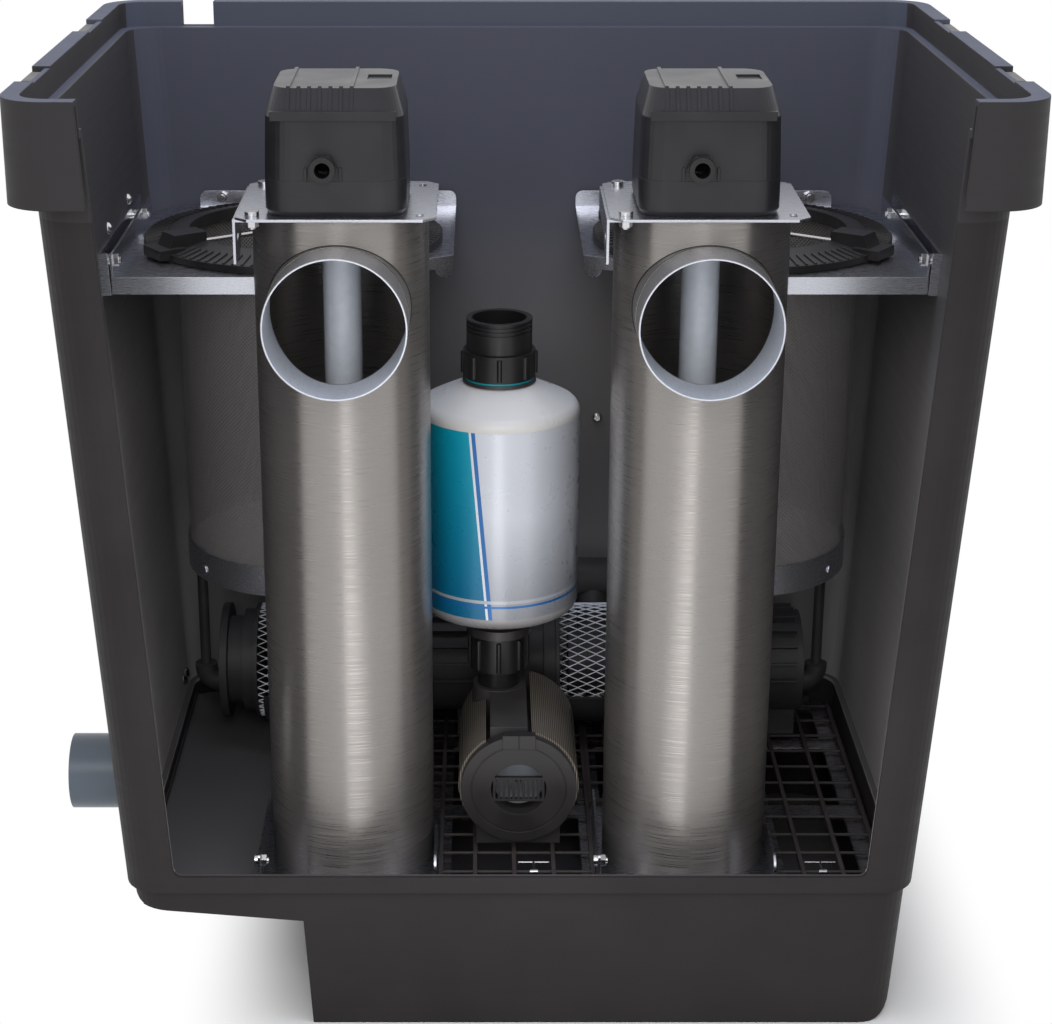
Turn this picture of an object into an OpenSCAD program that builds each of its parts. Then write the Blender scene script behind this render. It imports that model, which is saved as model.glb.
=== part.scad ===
// Pond filter chamber with two ultraviolet clarifiers, two strainer baskets, a phosphate
// canister on its own pump and two circulation pumps. The front wall is cut away, as on a
// display model. Z is up, the front faces -Y, and the underside of the sump is at z = 0.

/* [Tank] */
// Width over the rim
tank_w = 1080; // [1060:10:1120]
// Depth over the rim
tank_d = 780; // [770:10:820]
// Height from the underside of the sump to the top of the rim
tank_h = 1130; // [1120:5:1180]
// Thickness of the moulded walls
wall_t = 8; // [6:0.5:9]
// Thickness of the shallow floor beside the sump
floor_t = 6; // [5:0.5:8]
// Sideways draft of the walls for each unit of height
draft = 0.054; // [0.046:0.002:0.06]
// Radius of the upright corners
corner_r = 45; // [35:1:55]
// How far the lower shell stands back from the walls
step_in = 7; // [5:0.5:9]
// Height of that step
step_z = 186; // [180:1:196]
// Left side of the sump at its top
sump_x = -257; // [-265:1:-250]
// Lean of the sump's left wall
sump_lean = 8; // [4:1:12]
// Underside of the shallow floor where it meets the sump
pan_z = 144; // [140:1:146]
// Rise of the shallow floor away from the sump for each unit of length
pan_rise = 0.09; // [0.07:0.005:0.1]
// Radius along the sump's lower right edge
sump_edge_r = 28; // [20:1:36]
// Radius along the shallow floor's left edge
pan_edge_r = 14; // [10:1:18]
// Width of the ledge that carries the support frame
ledge_w = 26; // [22:1:32]

/* [Cut-away window] */
// Width of the front wall left standing beside the window
jamb_w = 62; // [55:1:70]
// Height of the sill
sill_z = 208; // [202:1:216]
// Radius of the window's lower corners
window_r = 10; // [6:1:16]

/* [Rim] */
// Overhang of the rim beyond the walls
rim_over = 21; // [18:1:24]
// Height of the rim's skirt
skirt_h = 112; // [100:1:124]
// Thickness of the skirt, the web and the top of the rim
rim_t = 6; // [4:0.5:7]
// Width of the rim's flat top
rim_top_w = 20; // [18:0.5:22]
// Drop from the rim's top to the lid ledge
ledge_drop = 32; // [28:1:38]
// Outer radius of the rim's corners
rim_r = 52; // [45:1:60]
// Length of the clip notches in the side rims
notch_l = 100; // [80:1:110]
// Depth of those notches
notch_drop = 14; // [8:1:20]
// Distance of the clip notches from the middle, towards the front
notch_front_y = 213; // [195:1:230]
// Distance of the clip notches from the middle, towards the back
notch_back_y = 152; // [135:1:170]
// Width of the cable notch in the back rim
cable_notch_w = 42; // [35:1:50]
// Distance of the cable notch from the middle
cable_notch_x = 421; // [400:1:430]

/* [Outlet pipe] */
// Outer diameter of the outlet pipe
outlet_d = 90; // [80:1:95]
// Wall of the pipe
pipe_wall = 3; // [2:0.2:4]
// Thickness of the rubber seal round the pipe
seal_t = 6; // [5:0.5:8]
// Distance of the pipe from the middle, towards the front
outlet_y = 188; // [180:1:195]
// Height of the pipe's centre
outlet_z = 283; // [278:1:290]

/* [Support frame and grates] */
// Width of the frame's flat bars
frame_w = 30; // [26:1:34]
// Thickness of the frame
frame_t = 6; // [5:0.5:8]
// Mesh of the floor grates
grate_pitch = 48; // [44:1:52]
// Height of the grate bars
grate_h = 8; // [7:0.5:10]
// Thickness of the grate bars
grate_bar = 5; // [4:0.5:6]
// Diameter of the grate's cross rods
grate_rod = 4; // [3:0.5:5]
// Width of the grate handles
pull_w = 38; // [32:1:38]
// Reach of the grate handles
pull_l = 24; // [18:1:28]
// Wire of the grate handles
pull_d = 3; // [2.5:0.5:3.5]

/* [Ultraviolet units] */
// Distance of each unit from the middle
uv_x = 205; // [200:1:208]
// Distance of both units from the middle, towards the front
uv_y = 145; // [143:1:150]
// Outer diameter of the clarifier tube
uv_d = 200; // [190:2:202]
// Sheet thickness of the tube
uv_wall = 2; // [1.5:0.25:3]
// Length of the tube
uv_l = 816; // [800:2:830]
// Outer diameter of the inlet stub
stub_d = 160; // [150:1:164]
// Distance from the tube's axis to the stub's lip
stub_reach = 156; // [150:1:160]
// Height of the stub's centre above the tube's lower end
stub_rise = 708; // [700:1:715]
// Sheet thickness of the plates and brackets
sheet_t = 3; // [2:0.25:4]
// Width of the top plate
plate_w = 220; // [214:1:224]
// Depth of the top plate
plate_d = 204; // [198:1:205]
// How far the top plate sits towards the front of the tube
plate_shift = 4; // [3:1:4]
// Corner cut of the top plate
plate_cut = 14; // [10:1:18]
// Drop of the side bracket at its front
bracket_drop = 50; // [40:1:60]
// Drop of the side bracket at its back
bracket_back_drop = 28; // [22:1:34]
// Front overhang of the foot plate from the tube's axis
foot_front = 144; // [142:1:146]
// Rear overhang of the foot plate from the tube's axis
foot_back = 104; // [102:1:110]
// Height of the foot's side flanges
foot_flange = 44; // [36:1:50]
// Diameter of the quartz sleeve
sleeve_d = 44; // [38:1:48]
// Wall of the quartz sleeve
sleeve_wall = 2; // [1.5:0.25:2.5]
// Length of the quartz sleeve below the plate
sleeve_l = 620; // [560:5:640]
// Diameter of the lamp
lamp_d = 18; // [15:1:26]

/* [Ultraviolet heads] */
// Width of the head
head_w = 156; // [150:1:160]
// Depth of the head
head_d = 164; // [158:1:168]
// Distance from the tube's axis to the head's front face
head_front = 95; // [90:1:97]
// Corner radius of the head
head_r = 30; // [24:1:34]
// Height of the head's base
head_base_h = 40; // [34:1:46]
// Height of the head's cover
head_cover_h = 97; // [90:1:100]
// Wall of the head's mouldings
head_t = 4; // [3:0.5:5]
// Width of the flat top of the cover
head_top_w = 134; // [128:1:140]
// Depth of the flat top of the cover
head_top_d = 132; // [126:1:138]
// Number of ribs on the cover
head_ribs = 7; // [5:1:9]
// Spacing of the ribs
head_rib_pitch = 11.5; // [10:0.5:12]
// Outer diameter of the cable gland
gland_d = 28; // [24:1:32]
// Bore of the cable gland
gland_bore = 17; // [14:1:19]
// Reach of the cable gland
gland_l = 18; // [12:1:24]

/* [Shelves] */
// Height of the shelves' top face
shelf_z = 865; // [855:1:875]
// Width of sheet between the basket's hole and the shelves' inner ends
shelf_in_w = 50; // [44:1:56]
// Front edge of the shelves, towards the front
shelf_front_y = 57; // [55:1:60]
// Where the inner chamfer meets the front edge, from the basket's axis inwards
shelf_cut_in = 11; // [2:1:13]
// Where the inner chamfer meets the inner end, towards the back
shelf_cut_y = 54; // [45:1:60]
// Depth of the front apron
apron_h = 21; // [18:1:26]
// Height of the rear upstand
upstand_h = 20; // [16:1:24]
// Height of the flange along the wall
wall_flange_h = 26; // [22:1:30]
// Gap between that flange and the wall
shelf_out = 13; // [11:0.5:15]
// Gap between the rear upstand and the back wall
shelf_rear_out = 9; // [7:0.5:12]
// Radius of the shelves' rear outer corner
shelf_r = 60; // [50:2:70]

/* [Baskets and lid rings] */
// Gap between the lid rings and the side walls
lid_side_gap = 25.7; // [23:0.1:27]
// Distance of the baskets from the middle, towards the back
basket_y = 143; // [141:1:146]
// Outer diameter of the basket mesh
mesh_d = 294; // [280:2:296]
// Thickness of the mesh
mesh_t = 2; // [1.5:0.25:3]
// Depth of the basket below the shelf
basket_h = 400; // [380:2:410]
// Height of the basket's lower band
band_h = 39; // [34:1:44]
// Thickness of that band
band_t = 3; // [2:0.5:4]
// Width of the basket's collar
collar_w = 18; // [16:1:20]
// Outer diameter of the lid ring
lid_d = 376; // [366:2:378]
// Opening of the lid ring
lid_bore = 262; // [254:2:270]
// Height of the lid ring at its outer edge
lid_edge_h = 6; // [5:0.5:8]
// Height of the lid ring at its opening
lid_lip_h = 15; // [13:0.5:18]
// Width of the lid grips
grip_w = 44; // [38:1:48]
// Reach of the lid grips beyond the ring
grip_out = 12; // [8:1:14]
// Height of the lid grips
grip_h = 27; // [24:1:32]
// Direction of the lid grips
grip_angle = 35; // [30:1:38]
// Wire of the carrying bail
bail_d = 6; // [5:0.5:7]
// Length of the bail's legs
bail_leg = 26; // [22:1:32]

/* [Canister] */
// Distance of the canister from the middle, towards the left
can_x = 24; // [18:1:30]
// Distance of the canister from the middle, towards the front
can_y = 15; // [8:1:18]
// Outer diameter of the canister
can_d = 198; // [188:2:200]
// Wall of the canister
can_wall = 2.5; // [2:0.25:3.5]
// Height of the canister's straight side
can_side_h = 242; // [230:2:250]
// Height of each conical end
can_cone_h = 28; // [24:1:32]
// Radius of the rounded edges
can_edge_r = 15; // [10:1:18]
// Outer diameter of the upper neck
neck_d = 76; // [72:1:80]
// Outer diameter of the lower neck
low_neck_d = 60; // [56:1:62]
// Height of the upper union nut
nut_h = 33; // [30:1:36]
// Height of the lower union nut
low_nut_h = 46; // [42:1:48]
// Wall of the union nuts
nut_wall = 9; // [7:0.5:10]
// Grip ribs on each union nut
nut_ribs = 8; // [6:1:12]
// Outer diameter of the open spigot
spigot_d = 80; // [76:1:82]
// Height of the open spigot
spigot_h = 39; // [34:1:44]

/* [Canister pump] */
// Diameter of the intake disc
disc_d = 142; // [142:1:146]
// Diameter of the strainer shells
shell_d = 148; // [146:1:152]
// Height of the pump's axis above the grate
pump_rise = 86; // [84:1:90]
// Front face of the intake disc, towards the front
pump_front_y = 175; // [170:1:180]
// Length of the pump
pump_l = 196; // [190:1:200]
// Diameter of the motor and volute
pump_core_d = 104; // [98:1:108]
// Opening of the intake disc
intake_d = 68; // [62:1:72]

/* [Circulation pumps] */
// Gap between the left pump and the left wall
rear_left_gap = 65; // [62:1:70]
// Gap between the right pump and the right wall
rear_right_gap = 76; // [72:1:80]
// Gap between the two pumps
rear_mid_gap = 27; // [22:1:34]
// Distance of the pumps from the middle, towards the back
rear_y = 196; // [192:1:199]
// Height of the pumps' axis above the grate
rear_rise = 98; // [94:1:102]
// Outer diameter of the strainer
rear_d = 156; // [150:1:158]
// Start of the strainer from the pump's left end
strainer_from = 51; // [46:1:56]
// End of the strainer from the pump's left end
strainer_to = 185; // [175:1:195]
// Number of fins along the motor's upper side
motor_fins = 11; // [7:1:15]
// Distance of the discharge manifold behind the pumps' axis
manifold_back = 74; // [70:1:76]
// Height of the discharge manifold above the pumps' axis
manifold_rise = 88; // [84:1:92]
// Outer diameter of the discharge manifold
manifold_d = 63; // [58:1:66]
// Outer diameter of the side elbows
elbow_d = 30; // [26:1:32]
// Outer diameter of the riser pipes
riser_d = 14; // [12:1:16]

/* [Fasteners and clearances] */
// Thread diameter of the bolts
bolt_d = 8; // [6:0.5:8]
// Head diameter of the bolts
bolt_head_d = 16; // [14:0.5:18]
// Head height of the bolts
bolt_head_h = 5; // [4:0.5:6]
// Radial clearance of turning parts
run_gap = 0.05; // [0.03:0.01:0.08]
// Gap between parts that only lie close together
gap = 0.3; // [0.25:0.05:0.5]
// Radial clearance of bolts in their holes
bolt_gap = 0.2; // [0.1:0.05:0.4]
// Gap round the basket in its shelf
basket_gap = 3; // [2:0.5:4]

/* [Hidden] */
$fn = 96;
hull_fn = 32;
over = 1;
far = 1200;

steel = "#a9a7a6";
black = "#303032";
tilt = atan(draft);
wall_top = tank_h - ledge_drop;
skirt_z = tank_h - skirt_h;
ledge_z = pan_z + floor_t;
ledge_t = wall_t;
frame_z = ledge_z;
deck_z = frame_z + frame_t;
grate_top = deck_z + grate_h;
tube_z = deck_z + sheet_t;
plate_z = tube_z + uv_l;
head_z = plate_z + sheet_t;
head_y = head_d / 2 - uv_y - head_front;
foot_left = uv_d / 2 + 10;
foot_right = uv_d / 2 + 5;
bay_gap = 2;
bracket_x = plate_w / 2 + sheet_t;
bolt_x = plate_w / 2 - 18;
bolt_y = plate_d / 2 - 22;
shelf_end_x = half_w(shelf_z) - wall_t - shelf_out;
shelf_back_y = half_d(shelf_z) - wall_t - shelf_rear_out;
mesh_r = mesh_d / 2;
hole_r = mesh_r + band_t + basket_gap;
basket_x = half_w(shelf_z) - wall_t - lid_d / 2 - lid_side_gap;
shelf_in_x = basket_x - hole_r - shelf_in_w;
shelf_cut_x = basket_x - shelf_cut_in;
collar_z = shelf_z + gap;
lid_z = collar_z + mesh_t + gap;
basket_z = shelf_z - basket_h;
band_z = basket_z - band_h + 10;
bail_z = lid_z + bail_d / 2 + 2;
pump_z = grate_top + pump_rise;
rear_z = grate_top + rear_rise;
riser_show = 24;
low_neck_show = 15;
low_nut_z = pump_z + shell_d / 2 + riser_show;
can_bottom = low_nut_z + low_nut_h + low_neck_show;
can_r = can_d / 2;
neck_foot_r = neck_d / 2 + 3;
can_side_z = can_bottom + can_cone_h + end_rise(low_neck_d / 2);
can_side_top = can_side_z + can_side_h;
can_top = can_side_top + end_rise(neck_foot_r) + can_cone_h;
collar_t = 4;
gasket_t = 2.5;
nut_z = can_top + collar_t + gasket_t;
nut_lip = 4;
neck_top = nut_z + nut_h - 2 * nut_lip;
neck_bottom = low_nut_z + 2 * nut_lip + gap;
rear_wall_x = half_w(rear_z) - wall_t;
rear_left_x = rear_left_gap - rear_wall_x;
rear_l = rear_wall_x - (rear_left_gap + rear_right_gap + rear_mid_gap) / 2;
rear_right_x = rear_left_x + rear_l + rear_mid_gap;
manifold_y = rear_y + manifold_back;
manifold_z = rear_z + manifold_rise;

// Half the outer width and half the outer depth of the drafted walls at a height
function half_w(z) = tank_w / 2 - rim_over - draft * (tank_h - z);
function half_d(z) = tank_d / 2 - rim_over - draft * (tank_h - z);

// Rise of the canister's rounded edge for a cone that ends at a neck radius
function end_rise(neck) =
  can_edge_r * tan((90 - atan(can_cone_h / (can_d / 2 - neck))) / 2);

// ---------------------------------------------------------------- shapes used throughout

// Rounded rectangle
module plan(w, d, r) {
  square([w - 2 * r, d], center = true);
  square([w, d - 2 * r], center = true);
  for (sx = [-1, 1], sy = [-1, 1])
    translate([sx * (w / 2 - r), sy * (d / 2 - r)])
      circle(r);
}

module slab(w, d, r, h) {
  linear_extrude(h)
    plan(w, d, r);
}

module tube(r_out, r_in, h) {
  difference() {
    cylinder(r = r_out, h = h);
    translate([0, 0, -over])
      cylinder(r = r_in, h = h + 2 * over);
  }
}

// Cylinder along X or Y from its starting point
module along_x(r, l) {
  rotate([0, 90, 0])
    cylinder(r = r, h = l);
}

module along_y(r, l) {
  rotate([-90, 0, 0])
    cylinder(r = r, h = l);
}

// Drafted block between two heights, drawn in from the walls' outer faces
module drafted(z0, z1, inset) {
  thin = 0.01;
  r = corner_r - inset / 2;
  $fn = hull_fn;
  hull() {
    translate([0, 0, z0])
      slab(2 * (half_w(z0) - inset), 2 * (half_d(z0) - inset), r, thin);
    translate([0, 0, z1 - thin])
      slab(2 * (half_w(z1) - inset), 2 * (half_d(z1) - inset), r, thin);
  }
}

// Draws a right-hand part as it is (1) or mirrored to the left (-1)
module hand(side) {
  if (side < 0)
    mirror([1, 0, 0])
      children();
  else
    children();
}

// Places a child against the inner face of a side wall, with its X axis pointing out
// through the wall and its Z axis up along the draft
module on_side(side, y, z) {
  hand(side)
    translate([half_w(z) - wall_t, y, z])
      rotate([0, tilt, 0])
        children();
}

module on_back(x, z) {
  translate([x, half_d(z) - wall_t, z])
    rotate([-tilt, 0, 0])
      rotate([0, 0, 90])
        children();
}

// ---------------------------------------------------------------- tank

// What lies outside a rounded lower edge, to be cut away
module edge_cut(r) {
  difference() {
    translate([0, -r - over])
      square([r + over, r + over]);
    circle(r);
  }
}

// Front view of the shallow floor and the sump, drawn in by tx sideways and tz upwards
module sump_profile(tx, tz) {
  sump_r = sump_edge_r - tx;
  pan_r = pan_edge_r - tx / 2;
  pan_left = half_w(pan_z) - step_in - tx;
  pan_left_z = pan_z + tz + pan_rise * (sump_x + pan_left);
  difference() {
    polygon([[-far, step_z + wall_t + over], [far, step_z + wall_t + over], [far, tz],
      [sump_x + sump_lean + tx, tz], [sump_x + tx, pan_z + tz],
      [-far, pan_z + tz + pan_rise * (sump_x + tx + far)]]);
    translate([half_w(0) - step_in - tx - sump_r, tz + sump_r])
      edge_cut(sump_r);
    translate([pan_r - pan_left, pan_left_z + pan_r])
      mirror([1, 0])
        edge_cut(pan_r);
  }
}

module lower_shell(tx, tz, top) {
  intersection() {
    drafted(0, top, step_in + tx);
    rotate([90, 0, 0])
      translate([0, 0, -tank_d])
        linear_extrude(2 * tank_d)
          sump_profile(tx, tz);
  }
}

module rim() {
  web_in = rim_top_w - rim_t;
  difference() {
    translate([0, 0, skirt_z])
      slab(tank_w, tank_d, rim_r, skirt_h);
    translate([0, 0, skirt_z - over])
      slab(tank_w - 2 * rim_t, tank_d - 2 * rim_t, rim_r - rim_t, skirt_h - rim_t + over);
  }
  translate([0, 0, wall_top - wall_t])
    slab(tank_w - 2 * web_in, tank_d - 2 * web_in, rim_r - web_in, ledge_drop + wall_t);
}

// Everything that is open above the lid ledge
module mouth() {
  translate([0, 0, wall_top])
    slab(tank_w - 2 * rim_top_w, tank_d - 2 * rim_top_w, rim_r - rim_top_w, ledge_drop + over);
}

module window() {
  top = tank_h + over;
  foot_w = half_w(sill_z) - jamb_w;
  rotate([90, 0, 0])
    translate([0, 0, half_d(0) / 2])
      linear_extrude(tank_d)
        union() {
          polygon([[-foot_w + window_r, sill_z], [foot_w - window_r, sill_z],
            [half_w(sill_z + window_r) - jamb_w, sill_z + window_r],
            [half_w(top) - jamb_w, top], [jamb_w - half_w(top), top],
            [jamb_w - half_w(sill_z + window_r), sill_z + window_r]]);
          for (side = [-1, 1])
            translate([side * (foot_w - window_r), sill_z + window_r])
              circle(window_r);
        }
}

// Notches for the lid clips in the side rims, and for the cables in the back rim
module rim_notches() {
  edge_drop = 2;
  for (side = [-1, 1], y = [-notch_front_y, notch_back_y])
    hand(side) {
      translate([tank_w / 2 - rim_top_w + rim_t, y - notch_l / 2, tank_h - notch_drop])
        cube([rim_top_w, notch_l, notch_drop + over]);
      translate([tank_w / 2 - rim_top_w - over, y - notch_l / 2, tank_h - edge_drop])
        cube([rim_top_w, notch_l, edge_drop + over]);
    }
  translate([-cable_notch_x - cable_notch_w / 2, tank_d / 2 - rim_top_w - over, wall_top])
    cube([cable_notch_w, rim_top_w + 2 * over, ledge_drop + over]);
}

module sump_ledge() {
  inner = step_in + wall_t + ledge_w;
  left = sump_x + wall_t + ledge_w;
  right = half_w(frame_z) - inner;
  deep = half_d(frame_z) - inner;
  difference() {
    intersection() {
      drafted(frame_z - ledge_t, frame_z, step_in + wall_t / 2);
      translate([sump_x + wall_t / 2, -tank_d / 2, frame_z - ledge_t])
        cube([tank_w, tank_d, ledge_t]);
    }
    translate([left, -deep, frame_z - ledge_t - over])
      cube([right - left, 2 * deep, ledge_t + 2 * over]);
  }
}

outlet_boss_out = 3.5;
outlet_boss_l = wall_t + 2 * outlet_boss_out;
outlet_boss_x = -half_w(outlet_z) - outlet_boss_out;

module at_outlet() {
  translate([outlet_boss_x, -outlet_y, outlet_z])
    children();
}

// Places of the dome bolts: distance towards the back and height on the left wall,
// distance from the middle and height on the back wall
high_bolt_z = shelf_z + 39;
low_bolt_z = step_z + 32;
left_bolts = [[31, high_bolt_z], [196, high_bolt_z], [225, low_bolt_z], [250, low_bolt_z]];
back_bolts = [[-114, 568], [114, 568]];
upstand_bolts = [shelf_in_x + 70, shelf_end_x - shelf_r - 30];
upstand_bolt_z = shelf_z + 11;

module tank() {
  color(black)
    difference() {
      union() {
        difference() {
          union() {
            drafted(step_z, wall_top, 0);
            lower_shell(0, 0, step_z + wall_t / 2);
            rim();
          }
          drafted(step_z + wall_t, wall_top + over, wall_t);
          lower_shell(wall_t, floor_t, step_z + wall_t + over);
          mouth();
          window();
          rim_notches();
        }
        sump_ledge();
        at_outlet()
          along_x(outlet_d / 2 + seal_t + wall_t, outlet_boss_l);
      }
      at_outlet()
        translate([-over, 0, 0])
          along_x(outlet_d / 2 + seal_t, outlet_boss_l + 2 * over);
      for (at = left_bolts)
        on_side(-1, at[0], at[1])
          bolt_hole();
      for (at = back_bolts)
        on_back(at[0], at[1])
          bolt_hole();
      for (side = [-1, 1]) {
        for (y = shelf_bolt_ys)
          on_side(side, y, shelf_bolt_z)
            bolt_hole();
        for (x = upstand_bolts)
          on_back(side * x, upstand_bolt_z)
            bolt_hole();
      }
    }
}

module bolt_hole() {
  translate([-over, 0, 0])
    along_x(bolt_d / 2 + bolt_gap, wall_t + 2 * over);
}

module rim_clips() {
  clip_l = notch_l * 0.6;
  clip_h = notch_drop - 3;
  lip = 8;
  lip_t = 2;
  color(black)
    for (side = [-1, 1], y = [-notch_front_y, notch_back_y])
      hand(side)
        translate([tank_w / 2 - rim_t, y - clip_l / 2, tank_h - notch_drop]) {
          cube([rim_t / 2, clip_l, clip_h]);
          translate([-lip, 0, clip_h - lip_t])
            cube([lip + rim_t / 2, clip_l, lip_t]);
        }
}

// Bolt through a wall along X, with a dome head inside and a washer and nut outside
module wall_bolt() {
  dome_r = bolt_head_d / 2;
  washer_t = 1.5;
  translate([-bolt_head_h, 0, 0])
    intersection() {
      translate([dome_r - over, 0, 0])
        sphere(dome_r);
      along_x(dome_r, bolt_head_h);
    }
  along_x(bolt_d / 2, wall_t + 2 * washer_t + nut_t);
  translate([wall_t, 0, 0])
    along_x(bolt_head_d / 2, washer_t);
  translate([wall_t + washer_t, 0, 0])
    rotate([0, 90, 0])
      cylinder(d = nut_d, h = nut_t, $fn = 6);
}

module wall_bolts() {
  color(steel) {
    for (at = left_bolts)
      on_side(-1, at[0], at[1])
        wall_bolt();
    for (at = back_bolts)
      on_back(at[0], at[1])
        wall_bolt();
  }
}

// ---------------------------------------------------------------- outlet pipe

seal_lip = 4;
pipe_show = tank_w / 2 + outlet_boss_x - seal_lip;
pipe_seat_r = outlet_d / 2 - 0.5;

// Pipe end outside the wall, turned down a little where it sits in the seal
module outlet_pipe() {
  inside = seal_lip + 2;
  bore = outlet_d / 2 - pipe_wall;
  color("#7d858e")
    translate([-tank_w / 2, -outlet_y, outlet_z])
      rotate([0, 90, 0]) {
        tube(outlet_d / 2, bore, pipe_show);
        translate([0, 0, pipe_show])
          tube(pipe_seat_r, bore, outlet_boss_l + seal_lip + inside);
      }
}

module outlet_seal() {
  lip_r = outlet_d / 2 + seal_t + seal_lip;
  color("#202022")
    at_outlet()
      rotate([0, 90, 0]) {
        tube(outlet_d / 2 + seal_t, pipe_seat_r, outlet_boss_l);
        translate([0, 0, -seal_lip])
          tube(lip_r, pipe_seat_r, seal_lip);
        translate([0, 0, outlet_boss_l])
          tube(lip_r, pipe_seat_r, seal_lip);
      }
}

// ---------------------------------------------------------------- frame, grates and handles

frame_x0 = sump_x + wall_t + over;
frame_x1 = half_w(frame_z) - step_in - wall_t - over;
frame_y1 = half_d(frame_z) - step_in - wall_t - over;
bay_left = foot_right - uv_x + bay_gap;
bay_right = uv_x - foot_left - bay_gap;
bay_side = uv_x + foot_right + bay_gap;
foot_edge = foot_back - uv_y;

// Square opening of the frame between two pairs of bar centres
module frame_bay(xa, xb, ya, yb) {
  half = frame_w / 2;
  translate([xa + half, ya + half, frame_z - over])
    cube([xb - xa - frame_w, yb - ya - frame_w, frame_t + 2 * over]);
}

module support_frame() {
  half = frame_w / 2;
  xs = [frame_x0 + half, bay_left, bay_right, bay_side, frame_x1 - half];
  ys = [half - frame_y1, foot_edge - half / 2, frame_y1 / 2, frame_y1 - half];
  color(steel)
    difference() {
      intersection() {
        translate([0, 0, frame_z])
          slab(2 * frame_x1, 2 * frame_y1, corner_r, frame_t);
        translate([frame_x0, -frame_y1, frame_z - over])
          cube([frame_x1 - frame_x0, 2 * frame_y1, frame_t + 2 * over]);
      }
      for (i = [0 : len(xs) - 2], j = [0 : len(ys) - 2])
        frame_bay(xs[i], xs[i + 1], ys[j], ys[j + 1]);
    }
}

// Rectangular grate field: bars along Y from right to left, and rods across them
module grate_field(x0, x1, y0, y1) {
  bars = floor((x1 - x0 - grate_bar) / grate_pitch);
  first = ceil((y0 + grate_bar - rod_y0) / grate_pitch);
  last = floor((y1 - grate_bar - rod_y0) / grate_pitch);
  for (x = [x0, for (i = [0 : bars]) x1 - grate_bar - i * grate_pitch])
    translate([x, y0, deck_z])
      cube([grate_bar, y1 - y0, grate_h]);
  for (y = [y0, y1 - grate_bar])
    translate([x0, y, deck_z])
      cube([x1 - x0, grate_bar, grate_h]);
  for (k = [first : last])
    translate([x0, rod_y0 + k * grate_pitch, deck_z + grate_h / 2])
      along_x(grate_rod / 2, x1 - x0);
}

grate_play = 4;
grate_y1 = frame_y1 - grate_play;
rod_margin = 30;
rod_y0 = rod_margin - grate_y1;
grate_side = frame_x1 - grate_play;
grate_left = frame_x0 + grate_play / 2;
grate_mid = gap + bay_side;
pull_y = rod_y0 + grate_pitch;

module centre_grate() {
  color("#3c3c3e")
    union() {
      grate_field(bay_left, bay_right, -grate_y1, grate_y1);
      grate_field(grate_left, bay_left + grate_bar, foot_edge + gap, grate_y1);
    }
}

module right_grate() {
  color("#3c3c3e")
    intersection() {
      union() {
        grate_field(grate_mid, grate_side, -grate_y1, grate_y1);
        grate_field(bay_right + gap, grate_mid + grate_bar, foot_edge + gap, grate_y1);
      }
      translate([0, 0, deck_z - over])
        slab(2 * grate_side, 2 * grate_y1, corner_r, grate_h + 2 * over);
    }
}

// Middle of the mesh opening next to a right-hand bar, counted from that bar
function mesh_middle(x1, n) = x1 - grate_bar / 2 - (n + 0.5) * grate_pitch;

centre_pull_x = mesh_middle(bay_right, 1);
right_pull_x = mesh_middle(grate_side, 1);

// T-shaped pull that turns on a grate rod
module grate_pull(x) {
  hub = 10;
  hub_t = 1.6;
  color(steel)
    translate([x, pull_y, deck_z + grate_h / 2])
      difference() {
        union() {
          translate([-hub / 2, 0, 0])
            along_x(grate_rod / 2 + hub_t, hub);
          translate([0, grate_rod / 2 + hub_t / 2, 0])
            along_y(pull_d / 2, pull_l - grate_rod / 2);
          translate([-pull_w / 2, pull_l, 0])
            along_x(pull_d / 2, pull_w);
        }
        translate([-hub / 2 - over, 0, 0])
          along_x(grate_rod / 2 + run_gap, hub + 2 * over);
      }
}

module centre_grate_pull() {
  grate_pull(centre_pull_x);
}

module right_grate_pull() {
  grate_pull(right_pull_x);
}

// ---------------------------------------------------------------- ultraviolet units

module at_uv(side) {
  translate([side * uv_x, -uv_y, 0])
    children();
}

// Upright sheet: its outline's X runs along Y and its outline's Y runs up
module upright(t) {
  rotate([90, 0, 90])
    linear_extrude(t)
      children();
}

// Tab with two rounded upper corners
module tab(l, h, r) {
  square([l, h - r]);
  translate([r, 0])
    square([l - 2 * r, h]);
  for (x = [r, l - r])
    translate([x, h - r])
      circle(r);
}

module slot(l, r) {
  square([l, 2 * r], center = true);
  for (x = [-l / 2, l / 2])
    translate([x, 0])
      circle(r);
}

flange_start = 37;
flange_l = 180;
flange_r = 4;
low_flange_l = 107;
low_flange_h = foot_flange - 4;
low_flange_r = 18;
drain_r = uv_d / 2 - 12;
foot_bolt_y = flange_start - foot_front + bolt_head_d;
foot_bolt_z = deck_z + foot_flange - bolt_head_d + 2;

module uv_foot(side) {
  color(steel)
    at_uv(side)
      difference() {
        union() {
          translate([-foot_left, -foot_front, deck_z])
            cube([foot_left + foot_right, foot_front + foot_back, sheet_t]);
          translate([-foot_left, flange_start - foot_front, deck_z])
            upright(sheet_t)
              tab(flange_l, foot_flange, flange_r);
          translate([foot_right - sheet_t, flange_start - foot_front, deck_z])
            upright(sheet_t)
              tab(low_flange_l, low_flange_h, low_flange_r);
        }
        translate([0, 0, deck_z - over])
          cylinder(r = drain_r, h = sheet_t + 2 * over);
        translate([-foot_left - over, foot_bolt_y, foot_bolt_z])
          along_x(bolt_d / 2 + bolt_gap, sheet_t + 2 * over);
      }
}

stub_z = tube_z + stub_rise;
weld_l = 3;
weld_h = 0.8;

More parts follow.
